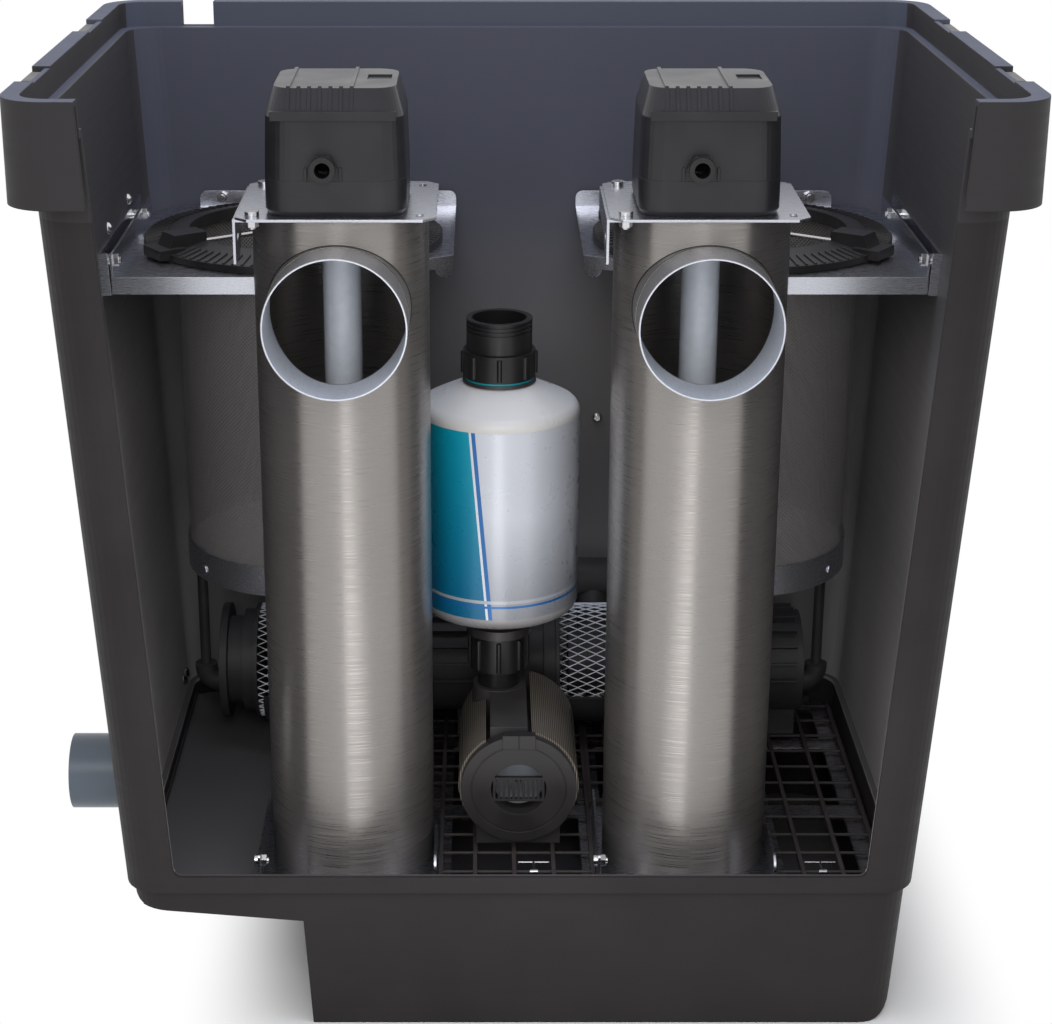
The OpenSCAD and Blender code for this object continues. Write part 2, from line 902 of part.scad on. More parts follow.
module uv_tube(side) {
  color(steel)
    at_uv(side)
      difference() {
        union() {
          translate([0, 0, tube_z])
            cylinder(r = uv_d / 2, h = uv_l);
          translate([0, -stub_reach, stub_z])
            along_y(stub_d / 2, stub_reach);
          translate([0, -uv_d / 2 - weld_l, stub_z])
            along_y(stub_d / 2 + weld_h, uv_d / 2);
        }
        translate([0, 0, tube_z - over])
          cylinder(r = uv_d / 2 - uv_wall, h = uv_l + 2 * over);
        translate([0, -stub_reach - over, stub_z])
          along_y(stub_d / 2 - uv_wall, stub_reach + over);
      }
}

module plate_bolt_places() {
  for (y = [-bolt_y, bolt_y])
    translate([-bolt_x, y - plate_shift, 0])
      children();
}

module uv_plate(side) {
  w = plate_w / 2;
  d = plate_d / 2;
  color(steel)
    at_uv(side)
      difference() {
        translate([0, -plate_shift, plate_z])
          linear_extrude(sheet_t)
            difference() {
              polygon([[-w, plate_cut - d], [plate_cut - w, -d],
                [w - plate_cut, -d], [w, plate_cut - d],
                [w, d - plate_cut], [w - plate_cut, d],
                [plate_cut - w, d], [-w, d - plate_cut]]);
              for (y = [-bolt_y, bolt_y])
                translate([bolt_x, y])
                  rotate(90)
                    slot(bolt_d, bolt_d / 2);
            }
        translate([0, 0, plate_z - over])
          cylinder(r = sleeve_d / 2 + gap, h = sheet_t + 2 * over);
        plate_bolt_places()
          translate([0, 0, plate_z - over])
            cylinder(r = bolt_d / 2 + bolt_gap, h = sheet_t + 2 * over);
      }
}

module uv_bracket(side) {
  l = plate_d - 2 * plate_cut;
  flange_w = bracket_x - bolt_x + bolt_head_d;
  front_w = 44;
  slope = bracket_drop - bracket_back_drop;
  color(steel)
    at_uv(side)
      difference() {
        translate([-bracket_x, -l / 2 - plate_shift, plate_z - sheet_t]) {
          cube([flange_w, l, sheet_t]);
          upright(sheet_t)
            polygon([[0, sheet_t], [0, sheet_t - bracket_drop],
              [front_w, sheet_t - bracket_drop],
              [front_w + slope, sheet_t - bracket_back_drop],
              [l, sheet_t - bracket_back_drop], [l, sheet_t]]);
        }
        translate([0, 0, plate_z - bracket_drop - over])
          cylinder(r = uv_d / 2 + over, h = bracket_drop + 2 * over);
        plate_bolt_places()
          translate([0, 0, plate_z - sheet_t - over])
            cylinder(r = bolt_d / 2 + bolt_gap, h = sheet_t + 2 * over);
        translate([-bracket_x - over, front_w / 2 - l / 2, plate_z - bracket_drop / 2])
          upright(sheet_t + 2 * over)
            slot(bolt_d, bolt_d / 2);
      }
}

nut_d = bolt_head_d - 1;
nut_t = 6.5;

// Bolt with its round head on top of a pack of sheets and a hexagon nut below it
module bolt(pack) {
  cylinder(d = bolt_head_d, h = bolt_head_h);
  translate([0, 0, -pack - nut_t - bolt_head_h / 2])
    cylinder(d = bolt_d, h = pack + nut_t + bolt_head_h / 2);
  translate([0, 0, -pack - nut_t])
    cylinder(d = nut_d, h = nut_t, $fn = 6);
}

module uv_screws() {
  color("#c4c2c0")
    for (side = [-1, 1])
      at_uv(side) {
        plate_bolt_places()
          translate([0, 0, plate_z + sheet_t])
            bolt(2 * sheet_t);
        translate([-foot_left, foot_bolt_y, foot_bolt_z])
          rotate([0, -90, 0])
            bolt(sheet_t);
      }
}

// ---------------------------------------------------------------- ultraviolet heads

module at_head(side) {
  translate([side * uv_x, head_y, head_z])
    children();
}

sleeve_offset = -uv_y - head_y;
heel_in = 4;
head_floor = head_t + heel_in;

module uv_head_base(side) {
  heel = 6;
  color(black)
    at_head(side)
      difference() {
        union() {
          hull() {
            $fn = hull_fn;
            slab(head_w - 2 * heel_in, head_d - 2 * heel_in, head_r - heel_in, heel / 2);
            translate([0, 0, heel])
              slab(head_w, head_d, head_r, heel / 2);
          }
          translate([0, 0, heel])
            slab(head_w, head_d, head_r, head_base_h - heel);
        }
        translate([0, 0, head_floor])
          slab(head_w - 2 * head_t, head_d - 2 * head_t, head_r - head_t, head_base_h);
        translate([0, sleeve_offset, -over])
          cylinder(r = sleeve_d / 2 + gap, h = head_base_h);
      }
}

// Outline of the cover, larger all round by an amount
module cover_form(grow) {
  thin = 0.5;
  shoulder = 67;
  shoulder_in = 4;
  hull() {
    $fn = hull_fn;
    slab(head_w + 2 * grow, head_d + 2 * grow, head_r + grow, thin);
    translate([0, 0, shoulder])
      slab(head_w + 2 * grow - shoulder_in, head_d + 2 * grow - shoulder_in, head_r + grow, thin);
    translate([0, (head_d - head_top_d) / 4, head_cover_h + grow - thin])
      slab(head_top_w, head_top_d, head_r - 6, thin);
  }
}

lip_z = 66;
lip_h = 10;
gland_x = -12;
gland_rise = 15;
gland_thread_r = gland_bore / 2 + 2;
gland_hex_r = gland_d / 2 + 2;
rib_x = -15;

module cover_ribs() {
  rib_t = 4;
  rib_out = 2;
  front_l = 30;
  back_l = 14;
  reach = (head_ribs - 1) / 2;
  intersection() {
    cover_form(rib_out);
    for (i = [-reach : reach])
      translate([rib_x + i * head_rib_pitch - rib_t / 2, 0, lip_z + lip_h / 2])
        if (abs(i) == reach)
          translate([0, -head_d / 2 - rib_out, 0])
            cube([rib_t, head_d, head_cover_h]);
        else {
          translate([0, -head_d / 2 - rib_out, 0])
            cube([rib_t, front_l, head_cover_h]);
          translate([0, head_d / 2 - back_l, head_cover_h - lip_z - rib_out])
            cube([rib_t, back_l, head_cover_h]);
        }
  }
}

module uv_head_cover(side) {
  lip_in = 10;
  lip_out = 3;
  cheek_t = 3;
  cheek_h = gland_rise;
  pocket = 2.5;
  color(black)
    at_head(side)
      translate([0, 0, head_base_h])
        difference() {
          union() {
            cover_form(0);
            cover_ribs();
            translate([lip_in - head_w / 2, -head_d / 2 - lip_out, lip_z])
              cube([head_w - 2 * lip_in, lip_out + head_t, lip_h]);
            for (dx = [-1, 1])
              translate([gland_x + dx * (gland_hex_r + cheek_t) - cheek_t / 2,
                -head_d / 2 - cheek_t, 0])
                cube([cheek_t, 2 * cheek_t, cheek_h]);
          }
          translate([0, 0, -over])
            slab(head_w - 3 * head_t, head_d - 3 * head_t, head_r - head_t, lip_z + over);
          translate([gland_x, -head_d / 2 - over, gland_rise])
            along_y(gland_thread_r + gap, 4 * head_t);
          translate([head_top_w / 4, 0, head_cover_h - pocket])
            cube([head_top_w / 5, head_top_d / 4, pocket + over]);
        }
}

module uv_gland(side) {
  hex_l = gland_l / 2;
  inner = 2.2 * head_t;
  color("#242426")
    at_head(side)
      translate([gland_x, -head_d / 2, head_base_h + gland_rise])
        difference() {
          union() {
            translate([0, -gland_l, 0])
              along_y(gland_d / 2, gland_l);
            translate([0, -hex_l, 0])
              rotate([-90, 0, 0])
                cylinder(r = gland_hex_r, h = hex_l, $fn = 6);
            along_y(gland_thread_r, inner);
          }
          translate([0, -gland_l - over, 0])
            along_y(gland_bore / 2, gland_l + inner + 2 * over);
        }
}

sleeve_seat = head_z + head_floor;
sleeve_flange_t = 6;

module uv_sleeve(side) {
  bottom = plate_z - sleeve_l;
  r = sleeve_d / 2;
  color("#cdd6dc")
    at_uv(side)
      difference() {
        translate([0, 0, bottom])
          cylinder(r = r, h = sleeve_seat + sleeve_flange_t - bottom);
        translate([0, 0, bottom + sleeve_wall])
          cylinder(r = r - sleeve_wall, h = sleeve_l * 2);
      }
}

// Lamps with the flanged sockets that hold the sleeves' upper ends
module uv_lamps() {
  end_gap = 12;
  socket_h = 24;
  socket_r = sleeve_d / 2 + 2 * sleeve_flange_t;
  bottom = plate_z - sleeve_l + end_gap;
  socket_z = sleeve_seat + sleeve_flange_t;
  color("#e6e9ee")
    for (side = [-1, 1])
      at_uv(side) {
        translate([0, 0, bottom])
          cylinder(d = lamp_d, h = socket_z - bottom);
        translate([0, 0, socket_z])
          cylinder(r = socket_r, h = socket_h);
        translate([0, 0, sleeve_seat])
          tube(socket_r, sleeve_d / 2 + gap, sleeve_flange_t);
      }
}

// ---------------------------------------------------------------- shelves

shelf_bolt_z = shelf_z + wall_flange_h - 9;
shelf_bolt_ys = [12 - shelf_front_y, shelf_back_y - 136];
wall_flange_l = shelf_back_y - shelf_r + shelf_front_y;
upstand_r = 10;

// Flat shelf with its front aprons and the rounded tab at the inner end of the chamfer
module shelf(side) {
  cut = [shelf_in_x - shelf_cut_x, shelf_cut_y + shelf_front_y];
  cut_apron_h = apron_h - 6;
  hanger_r = 12;
  corner = [shelf_cut_x, -shelf_front_y];
  color(steel)
    hand(side) {
      translate([0, 0, shelf_z - sheet_t])
        linear_extrude(sheet_t)
          difference() {
            polygon([corner, [shelf_end_x, -shelf_front_y], [shelf_end_x, shelf_back_y],
              [shelf_in_x, shelf_back_y], [shelf_in_x, shelf_cut_y]]);
            translate([shelf_end_x - shelf_r, shelf_back_y - shelf_r])
              mirror([0, 1])
                edge_cut(shelf_r);
            translate([basket_x, basket_y])
              circle(hole_r);
          }
      translate([shelf_cut_x, -shelf_front_y, shelf_z - apron_h])
        cube([shelf_end_x - shelf_cut_x, sheet_t, apron_h]);
      translate([corner[0], corner[1], shelf_z])
        rotate([90, 0, atan2(cut[1], cut[0])])
          linear_extrude(sheet_t)
            union() {
              translate([0, -cut_apron_h])
                square([norm(cut), cut_apron_h]);
              translate([norm(cut) - hanger_r, -cut_apron_h])
                circle(hanger_r);
            }
    }
}

// Strips welded on the shelves' rear and outer edges, leaning back with the walls
module shelf_flanges() {
  upstand_l = shelf_end_x - shelf_r - shelf_in_x;
  color(steel)
    for (side = [-1, 1])
      hand(side) {
        difference() {
          translate([0, -shelf_front_y + wall_flange_l, shelf_z])
            rotate([90, 0, 0])
              linear_extrude(wall_flange_l)
                leaning(shelf_end_x, wall_flange_h);
          for (y = shelf_bolt_ys)
            on_side(1, y, shelf_bolt_z)
              shelf_hole(shelf_out);
        }
        difference() {
          intersection() {
            translate([shelf_in_x, 0, shelf_z])
              upright(upstand_l)
                leaning(shelf_back_y, upstand_h);
            translate([shelf_in_x, shelf_back_y + upstand_h, shelf_z])
              rotate([90, 0, 0])
                linear_extrude(2 * upstand_h)
                  tab(upstand_l, upstand_h, upstand_r);
          }
          for (x = upstand_bolts)
            on_back(x, upstand_bolt_z)
              shelf_hole(shelf_rear_out);
        }
      }
}

// Section of a strip whose outer face leans outwards from a foot
module leaning(foot, h) {
  polygon([[foot - sheet_t, 0], [foot, 0], [foot + draft * h, h],
    [foot - sheet_t + draft * h, h]]);
}

module shelf_hole(reach) {
  translate([-reach - 2 * sheet_t, 0, 0])
    along_x(bolt_d / 2 + bolt_gap, 3 * sheet_t);
}

module wall_brackets() {
  below = 23;
  h = below + wall_flange_h + 2;
  z = shelf_z - below;
  color(steel)
    for (side = [-1, 1])
      difference() {
        on_side(side, -shelf_front_y, z) {
          translate([-sheet_t, 0, 0])
            cube([sheet_t, wall_flange_l, h]);
          translate([2 * over - shelf_out, 0, 0])
            cube([shelf_out - 2 * over, sheet_t, h]);
        }
        for (y = shelf_bolt_ys)
          on_side(side, y, shelf_bolt_z)
            translate([-2 * sheet_t, 0, 0])
              along_x(bolt_d / 2 + bolt_gap, 3 * sheet_t);
      }
}

// Shelf bolts with their nuts inside and spacers between the flange and the wall
module shelf_bolt(reach, pad) {
  translate([-reach - sheet_t - bolt_head_h / 2 - nut_t, 0, 0])
    along_x(bolt_d / 2, reach + sheet_t + wall_t + bolt_head_h / 2 + nut_t);
  translate([-reach - sheet_t - nut_t, 0, 0])
    rotate([0, 90, 0])
      cylinder(d = nut_d, h = nut_t, $fn = 6);
  translate([gap - reach, 0, 0])
    along_x(bolt_d, reach - pad - gap);
  translate([wall_t, 0, 0])
    along_x(bolt_head_d / 2, bolt_head_h);
}

module shelf_bolts() {
  color("#c4c2c0")
    for (side = [-1, 1]) {
      for (y = shelf_bolt_ys)
        on_side(side, y, shelf_bolt_z)
          shelf_bolt(shelf_out, sheet_t);
      for (x = upstand_bolts)
        on_back(side * x, upstand_bolt_z)
          shelf_bolt(shelf_rear_out, 0);
    }
}

// ---------------------------------------------------------------- baskets and lid rings

module at_basket(side) {
  hand(side)
    translate([basket_x, basket_y, 0])
      children();
}

module basket_mesh(side) {
  inner = mesh_r - mesh_t;
  color("#77797c")
    at_basket(side)
      rotate_extrude()
        polygon([[0, basket_z], [mesh_r, basket_z], [mesh_r, collar_z],
          [mesh_r + collar_w, collar_z], [mesh_r + collar_w, collar_z + mesh_t],
          [inner, collar_z + mesh_t], [inner, basket_z + mesh_t],
          [0, basket_z + mesh_t]]);
}

module basket_band(side) {
  head_out = 1.5;
  bolt_rise = 14;
  bolt_angle = -126;
  color(steel)
    at_basket(side)
      translate([0, 0, band_z]) {
        tube(mesh_r + band_t, mesh_r, band_h);
        rotate(bolt_angle + 90)
          translate([mesh_r - bolt_head_h, 0, bolt_rise]) {
            along_x(bolt_d / 2, bolt_head_h + band_t);
            translate([bolt_head_h + band_t - over, 0, 0])
              along_x(bolt_head_d / 2, head_out + over);
          }
      }
}

module at_grips() {
  for (turn = [-grip_angle, 180 - grip_angle])
    rotate(turn)
      children();
}

module lid_ring(side) {
  r = lid_d / 2;
  skin = 3;
  bore = lid_bore / 2;
  skirt = lid_z - collar_z;
  foot_r = mesh_r + collar_w - 2 * skin;
  fall = (lid_lip_h - lid_edge_h) / (r - bore - 2 * skin);
  under = lid_edge_h - skin;
  base_h = 12;
  ridge_w = grip_w - 14;
  ridge_end = r - 4;
  color("#2c2c2e")
    at_basket(side)
      translate([0, 0, lid_z])
        difference() {
          union() {
            rotate_extrude()
              polygon([[bore, 0], [bore, lid_lip_h], [bore + skin, lid_lip_h],
                [r - skin, lid_edge_h], [r, lid_edge_h], [r, -skirt],
                [r - skin, -skirt], [r - skin, under],
                [foot_r + skin, under + fall * (r - skin - foot_r - skin)],
                [foot_r + skin, 0], [foot_r, 0],
                [foot_r, under + fall * (r - skin - foot_r)],
                [bore + skin, lid_lip_h - skin], [bore + skin, 0]]);
            at_grips() {
              translate([foot_r + 2 * skin, -grip_w / 2, 0])
                cube([r + grip_out - foot_r - 2 * skin, grip_w, base_h]);
              difference() {
                translate([bore + over, -ridge_w / 2, 0])
                  cube([ridge_end - bore - over, ridge_w, grip_h]);
                translate([ridge_end, -grip_w, base_h])
                  rotate([0, -28, 0])
                    cube([grip_w, 2 * grip_w, 2 * grip_h]);
              }
            }
          }
          rotate(-grip_angle)
            translate([-bore - grip_out - over, 0, bail_z - lid_z])
              along_x(bail_d / 2 + run_gap, 2 * (bore + grip_out + over));
        }
}

module bail(side) {
  wire = bail_d / 2;
  pin = lid_bore / 2 + grip_out;
  half = wire + sqrt(pow(lid_bore / 2 - wire - 2 * gap, 2) - pow(bail_leg, 2));
  color("#b9b7b5")
    at_basket(side)
      translate([0, 0, bail_z])
        rotate(-grip_angle)
          union() {
            for (end = [-1, 1]) {
              translate([end > 0 ? half - bail_d : -pin, 0, 0])
                along_x(wire, pin - half + bail_d);
              translate([end * (half - wire), 0, 0])
                along_y(wire, bail_leg);
              translate([end * (half - wire), bail_leg, 0])
                sphere(wire);
            }
            translate([wire - half, bail_leg, 0])
              along_x(wire, 2 * (half - wire));
          }
}

// ---------------------------------------------------------------- canister

module at_canister(z) {
  translate([-can_x, -can_y, z])
    children();
}

// Outline of one end of the canister above its straight side, drawn in by w
module can_end(neck, w) {
  a = atan(can_cone_h / (can_r - neck));
  mid = can_r - can_edge_r;
  edge = can_edge_r - w;
  top = end_rise(neck) + can_cone_h - w / cos(a);
  translate([mid, 0])
    circle(edge);
  polygon([[0, 0], [mid, 0], [mid + edge * sin(a), edge * cos(a)], [neck, top], [0, top]]);
}

module can_outline(w) {
  translate([0, can_side_z])
    square([can_r - w, can_side_h]);
  translate([0, can_side_top])
    can_end(neck_foot_r, w);
  translate([0, can_side_z])
    mirror([0, 1])
      can_end(low_neck_d / 2, w);
}

module canister_body() {
  neck_t = 2 * can_wall;
  color("#d3d5d7")
    at_canister(0)
      rotate_extrude()
        difference() {
          union() {
            can_outline(0);
            translate([0, can_top - can_cone_h])
              square([neck_d / 2, neck_top - can_top + can_cone_h]);
            translate([0, neck_bottom])
              square([low_neck_d / 2, can_bottom + can_cone_h - neck_bottom]);
          }
          can_outline(can_wall);
          translate([0, can_top - can_cone_h])
            square([neck_d / 2 - neck_t, neck_top]);
          translate([0, neck_bottom - over])
            square([low_neck_d / 2 - neck_t, can_bottom + can_cone_h - neck_bottom + over]);
        }
}

module canister_media() {
  color("#b8a890")
    at_canister(can_side_z)
      cylinder(r = can_r - can_wall, h = can_side_h);
}

module nut_ribbing(r, h) {
  rib_r = 3;
  for (i = [0 : nut_ribs - 1])
    rotate(i * 360 / nut_ribs)
      translate([r - rib_r, 0, rib_r])
        cylinder(r = rib_r, h = h - 2 * rib_r);
}

// Union nut with its retaining lip at the top
module union_nut(r, neck_r, h) {
  ring_r = r + nut_wall - 3;
  difference() {
    union() {
      cylinder(r = ring_r, h = h);
      nut_ribbing(r + nut_wall, h);
    }
    translate([0, 0, -over])
      cylinder(r = r + run_gap, h = h - nut_lip + over);
    translate([0, 0, -over])
      cylinder(r = neck_r + run_gap, h = h + 2 * over);
  }
}

module canister_union_nut() {
  color("#2e3033")
    at_canister(nut_z)
      union_nut(neck_d / 2, neck_d / 2 - 2, nut_h);
}

module lower_union_nut() {
  color("#2e3033")
    at_canister(low_nut_z + low_nut_h)
      mirror([0, 0, 1])
        union_nut(low_neck_d / 2, riser_r, low_nut_h);
}

riser_r = low_neck_d / 2 - 4;

module canister_spigot() {
  bore = neck_d / 2 - nut_lip - 1;
  top_z = nut_z + nut_h + gap;
  groove = 1.4;
  pitch = 5;
  color("#2e3033")
    at_canister(0)
      difference() {
        union() {
          translate([0, 0, neck_top])
            cylinder(r = neck_d / 2, h = nut_lip - gap);
          translate([0, 0, neck_top])
            cylinder(r = neck_d / 2 - 2, h = top_z - neck_top + over);
          translate([0, 0, top_z])
            cylinder(r = spigot_d / 2, h = spigot_h);
        }
        translate([0, 0, neck_top - over])
          cylinder(r = bore, h = spigot_h + top_z - neck_top + 2 * over);
        for (i = [1 : 3])
          translate([0, 0, top_z + spigot_h - i * pitch])
            tube(spigot_d / 2 + over, spigot_d / 2 - groove, pitch / 2);
      }
}

collar_r = neck_d / 2 + 7;

module canister_gasket() {
  color("#0f8f9c")
    at_canister(can_top + collar_t)
      tube(collar_r - 2, neck_d / 2 + gap, gasket_t - gap);
}

module neck_rings() {
  ring_h = 12;
  ring_out = 11;
  color("#8f9296") {
    at_canister(can_top)
      tube(collar_r, neck_d / 2 + gap, collar_t);
    at_canister(can_bottom - ring_h - over)
      tube(low_neck_d / 2 + ring_out, low_neck_d / 2 + gap, ring_h);
  }
}

// ---------------------------------------------------------------- canister pump

shell_t = 3;
shell_r = shell_d / 2;
disc_t = 12;
disc_step = 6;
rotor_r = 32;
rotor_y = 26;
rotor_t = 20;
well_gap = 4;
well_r = rotor_r + well_gap;
shaft_r = 4;
hump_w = 46;
pump_top_r = low_neck_d / 2 + 3;

module at_pump() {
  translate([0, -pump_front_y, pump_z])
    children();
}

module pump_riser() {
  color("#26272a")
    at_canister(0) {
      translate([0, 0, low_nut_z + nut_lip + gap])
        tube(low_neck_d / 2, riser_r - nut_lip, nut_lip);
      translate([0, 0, pump_z + shell_r])
        tube(riser_r, riser_r - nut_lip, low_nut_z + nut_lip + 2 * gap - pump_z - shell_r);
    }
}

module pump_body() {
  core_r = pump_core_d / 2;
  back = pump_l - 4;
  neck_l = shell_r - core_r / 2;
  foot_l = 18;
  foot_w = 104;
  color("#202123")
    difference() {
      union() {
        at_pump() {
          translate([0, disc_t + disc_step, 0])
            along_y(core_r, back - disc_t - disc_step);
          translate([0, back, 0])
            along_y(shell_r - shell_t - gap, pump_l - back);
          translate([-hump_w / 2 - can_x / 2, disc_t + 2 * disc_step, 0])
            cube([hump_w, back - disc_t - 2 * disc_step, shell_r - over]);
          for (y = [disc_t + 2 * disc_step, back - foot_l])
            translate([-foot_w / 2, y, grate_top - pump_z])
              difference() {
                cube([foot_w, foot_l, pump_z - grate_top]);
                translate([foot_w / 2, -over, pump_z - grate_top])
                  along_y(shell_r + gap, foot_l + 2 * over);
              }
        }
        at_canister(pump_z + core_r / 2)
          cylinder(r = pump_top_r, h = neck_l);
      }
      at_pump() {
        translate([0, disc_t, 0])
          along_y(well_r, rotor_y + rotor_t + well_gap - disc_t);
      }
      at_canister(pump_z)
        cylinder(r = riser_r - nut_lip, h = shell_r + over);
    }
  color("#8a8f96")
    at_pump()
      translate([0, rotor_y, 0])
        along_y(shaft_r, rotor_t + well_gap + over);
}

module pump_shaft_place() {
  at_pump()
    translate([0, rotor_y, 0])
      children();
}

module pump_intake_disc() {
  tooth = 3;
  teeth = 5;
  comb_h = 26;
  intake_r = intake_d / 2;
  groove_r = disc_d / 2 - 12;
  key_w = 40;
  color("#37383b")
    at_pump() {
      difference() {
        union() {
          along_y(disc_d / 2, disc_t);
          along_y(shell_r - shell_t - gap, disc_t + disc_step);
        }
        translate([0, -over, 0])
          along_y(intake_r, disc_t + disc_step + 2 * over);
        difference() {
          translate([0, -over, 0])
            along_y(groove_r, 2 * over);
          translate([0, -over, 0])
            along_y(groove_r - 2, 2 * over);
        }
      }
      difference() {
        translate([-key_w / 2, -2, groove_r - 4])
          cube([key_w, disc_t, disc_d / 2 - groove_r + 6]);
        translate([-over / 2, -2 - over, 0])
          cube([over, 2 * over, disc_d]);
      }
      intersection() {
        along_y(intake_r + over, disc_t / 2);
        union() {
          for (i = [-teeth : teeth])
            translate([i * 2 * tooth - tooth / 2, 0, -comb_h / 2])
              cube([tooth, disc_t / 2, comb_h]);
          for (z = [-comb_h / 2 - tooth, comb_h / 2])
            translate([-disc_d / 2, 0, z])
              cube([disc_d, disc_t / 2, tooth]);
        }
      }
    }
}

// Section of the strainer shells, open above for the pump's outlet
module shell_ring() {
  top_gap = hump_w + 10;
  difference() {
    circle(shell_r);
    circle(shell_r - shell_t);
    translate([-top_gap / 2 - can_x / 2, -shell_r - over])
      square([top_gap, shell_r + over]);
  }
}

module pump_strainer_shells() {
  slots = 22;
  slot_w = 4;
  margin = 14;
  l = pump_l - disc_t;
  color("#8d8b89")
    difference() {
      at_pump()
        translate([0, disc_t, 0])
          rotate([-90, 0, 0]) {
            linear_extrude(margin)
              shell_ring();
            translate([0, 0, margin])
              linear_extrude(l - 2 * margin)
                difference() {
                  shell_ring();
                  for (i = [1 : slots - 1])
                    rotate(i * 240 / slots - 30)
                      translate([shell_r - 2 * shell_t, -slot_w / 2])
                        square([3 * shell_t, slot_w]);
                }
            translate([0, 0, l - margin])
              linear_extrude(margin)
                shell_ring();
          }
      at_canister(pump_z)
        cylinder(r = pump_top_r + gap, h = shell_r + over);
    }
}

// Impeller that turns about +Z on a fixed shaft
module impeller(r, t) {
  blades = 6;
  blade_t = 3;
  hub = 3 * shaft_r;
  difference() {
    union() {
      cylinder(r = hub, h = t);
      cylinder(r = r, h = blade_t);
      for (i = [0 : blades - 1])
        rotate(i * 360 / blades)
          translate([0, -blade_t / 2, 0])
            cube([r - over, blade_t, t]);
    }
    translate([0, 0, -over])
      cylinder(r = shaft_r + run_gap, h = t + 2 * over);
  }
}

module pump_rotor() {
  color("#8a8f96")
    pump_shaft_place()
      rotate([-90, 0, 0])
        impeller(rotor_r, rotor_t);
}

// ---------------------------------------------------------------- circulation pumps

rear_r = rear_d / 2;
pump_neck_r = 22;
pump_neck_bore = 16;
pump_neck_x = 100;
pump_neck_end = rear_r + 2;
neck_tilt = atan2(manifold_y - rear_y, manifold_z - rear_z);
rear_rotor_x = 76;
rear_core_x = 64;
rear_core_r = 45;
strainer_t = 2;

module at_rear(side) {
  translate([side < 0 ? rear_left_x : rear_right_x, rear_y, rear_z])
    children();
}

// Points a child's Z axis from the pump's axis towards the manifold
module at_pump_neck() {
  translate([pump_neck_x, 0, 0])
    rotate([-neck_tilt, 0, 0])
      children();
}

module rear_motor() {
  flange_t = 15;
  fin_h = 9;
  fin_t = 3;
  cap_t = 9;
  motor_r = rear_r - fin_h;
  motor_x = strainer_to + flange_t;
  translate([strainer_to, 0, 0])
    along_x(rear_r, flange_t);
  translate([motor_x, 0, 0])
    along_x(motor_r, rear_l - motor_x);
  for (i = [0 : motor_fins - 1])
    rotate([i * 180 / (motor_fins - 1) - 90, 0, 0])
      translate([motor_x - over, -fin_t / 2, motor_r - over])
        cube([rear_l - motor_x - cap_t + over, fin_t, fin_h]);
}

module rear_feet() {
  foot_w = 55;
  foot_d = 64;
  foot_end = 5;
  for (x = [strainer_to + 2 * foot_end, rear_l - foot_w - foot_end])
    translate([x, -foot_d / 2, grate_top - rear_z])
      cube([foot_w, foot_d, rear_z - grate_top - rear_core_r]);
}

module rear_cradle() {
  t = 6;
  from = strainer_from + 8;
  l = strainer_to - strainer_from - 16;
  intersection() {
    translate([from, 0, 0])
      rotate([0, 90, 0])
        tube(rear_r + t, rear_r, l);
    translate([from, -tank_d / 2, -2 * rear_r - rear_core_r / 2])
      cube([l, tank_d, 2 * rear_r]);
  }
}

module rear_pump(side) {
  end_t = 10;
  step_x = 30;
  collar = 5;
  color("#26272a")
    at_rear(side) {
      difference() {
        union() {
          along_x(rear_r, end_t);
          along_x(rear_r - 18, step_x);
          translate([step_x, 0, 0])
            along_x(rear_r - 8, strainer_from - step_x);
          translate([strainer_from - collar, 0, 0])
            along_x(rear_r, collar);
          translate([rear_core_x, 0, 0])
            along_x(rear_core_r, strainer_to - rear_core_x + over);
          at_pump_neck()
            cylinder(r = pump_neck_r, h = pump_neck_end);
          rear_motor();
          rear_feet();
          rear_cradle();
        }
        translate([rear_rotor_x - well_gap, 0, 0])
          along_x(well_r, rotor_t + 2 * well_gap);
        translate([rear_core_x - over, 0, 0])
          along_x(rotor_r / 2, well_r);
        at_pump_neck()
          cylinder(r = pump_neck_bore, h = pump_neck_end + over);
      }
      translate([rear_rotor_x, 0, 0])
        along_x(shaft_r, rotor_t + well_gap + over);
    }
}

module rear_strainer(side) {
  color("#9a9896")
    at_rear(side)
      difference() {
        translate([strainer_from, 0, 0])
          rotate([0, 90, 0])
            tube(rear_r, rear_r - strainer_t, strainer_to - strainer_from);
        at_pump_neck()
          cylinder(r = pump_neck_r + gap, h = pump_neck_end + over);
      }
}

module rear_rotor(side) {
  color("#8a8f96")
    at_rear(side)
      translate([rear_rotor_x, 0, 0])
        rotate([0, 90, 0])
          impeller(rotor_r, rotor_t);
}

// Elbow and riser pipe on the outer end of a pump, drawn for the right-hand side
module side_riser() {
  straight = 6;
  bend_r = 20;
  riser_h = 194;
  along_x(elbow_d / 2, straight);
  translate([straight, 0, bend_r])
    rotate([90, 0, 0])
      rotate([0, 0, -90])
        rotate_extrude(angle = 90)
          translate([bend_r, 0])
            circle(elbow_d / 2);
  translate([straight + bend_r, 0, bend_r]) {
    cylinder(d = elbow_d, h = straight);
    cylinder(d = riser_d, h = riser_h - bend_r);
  }
}

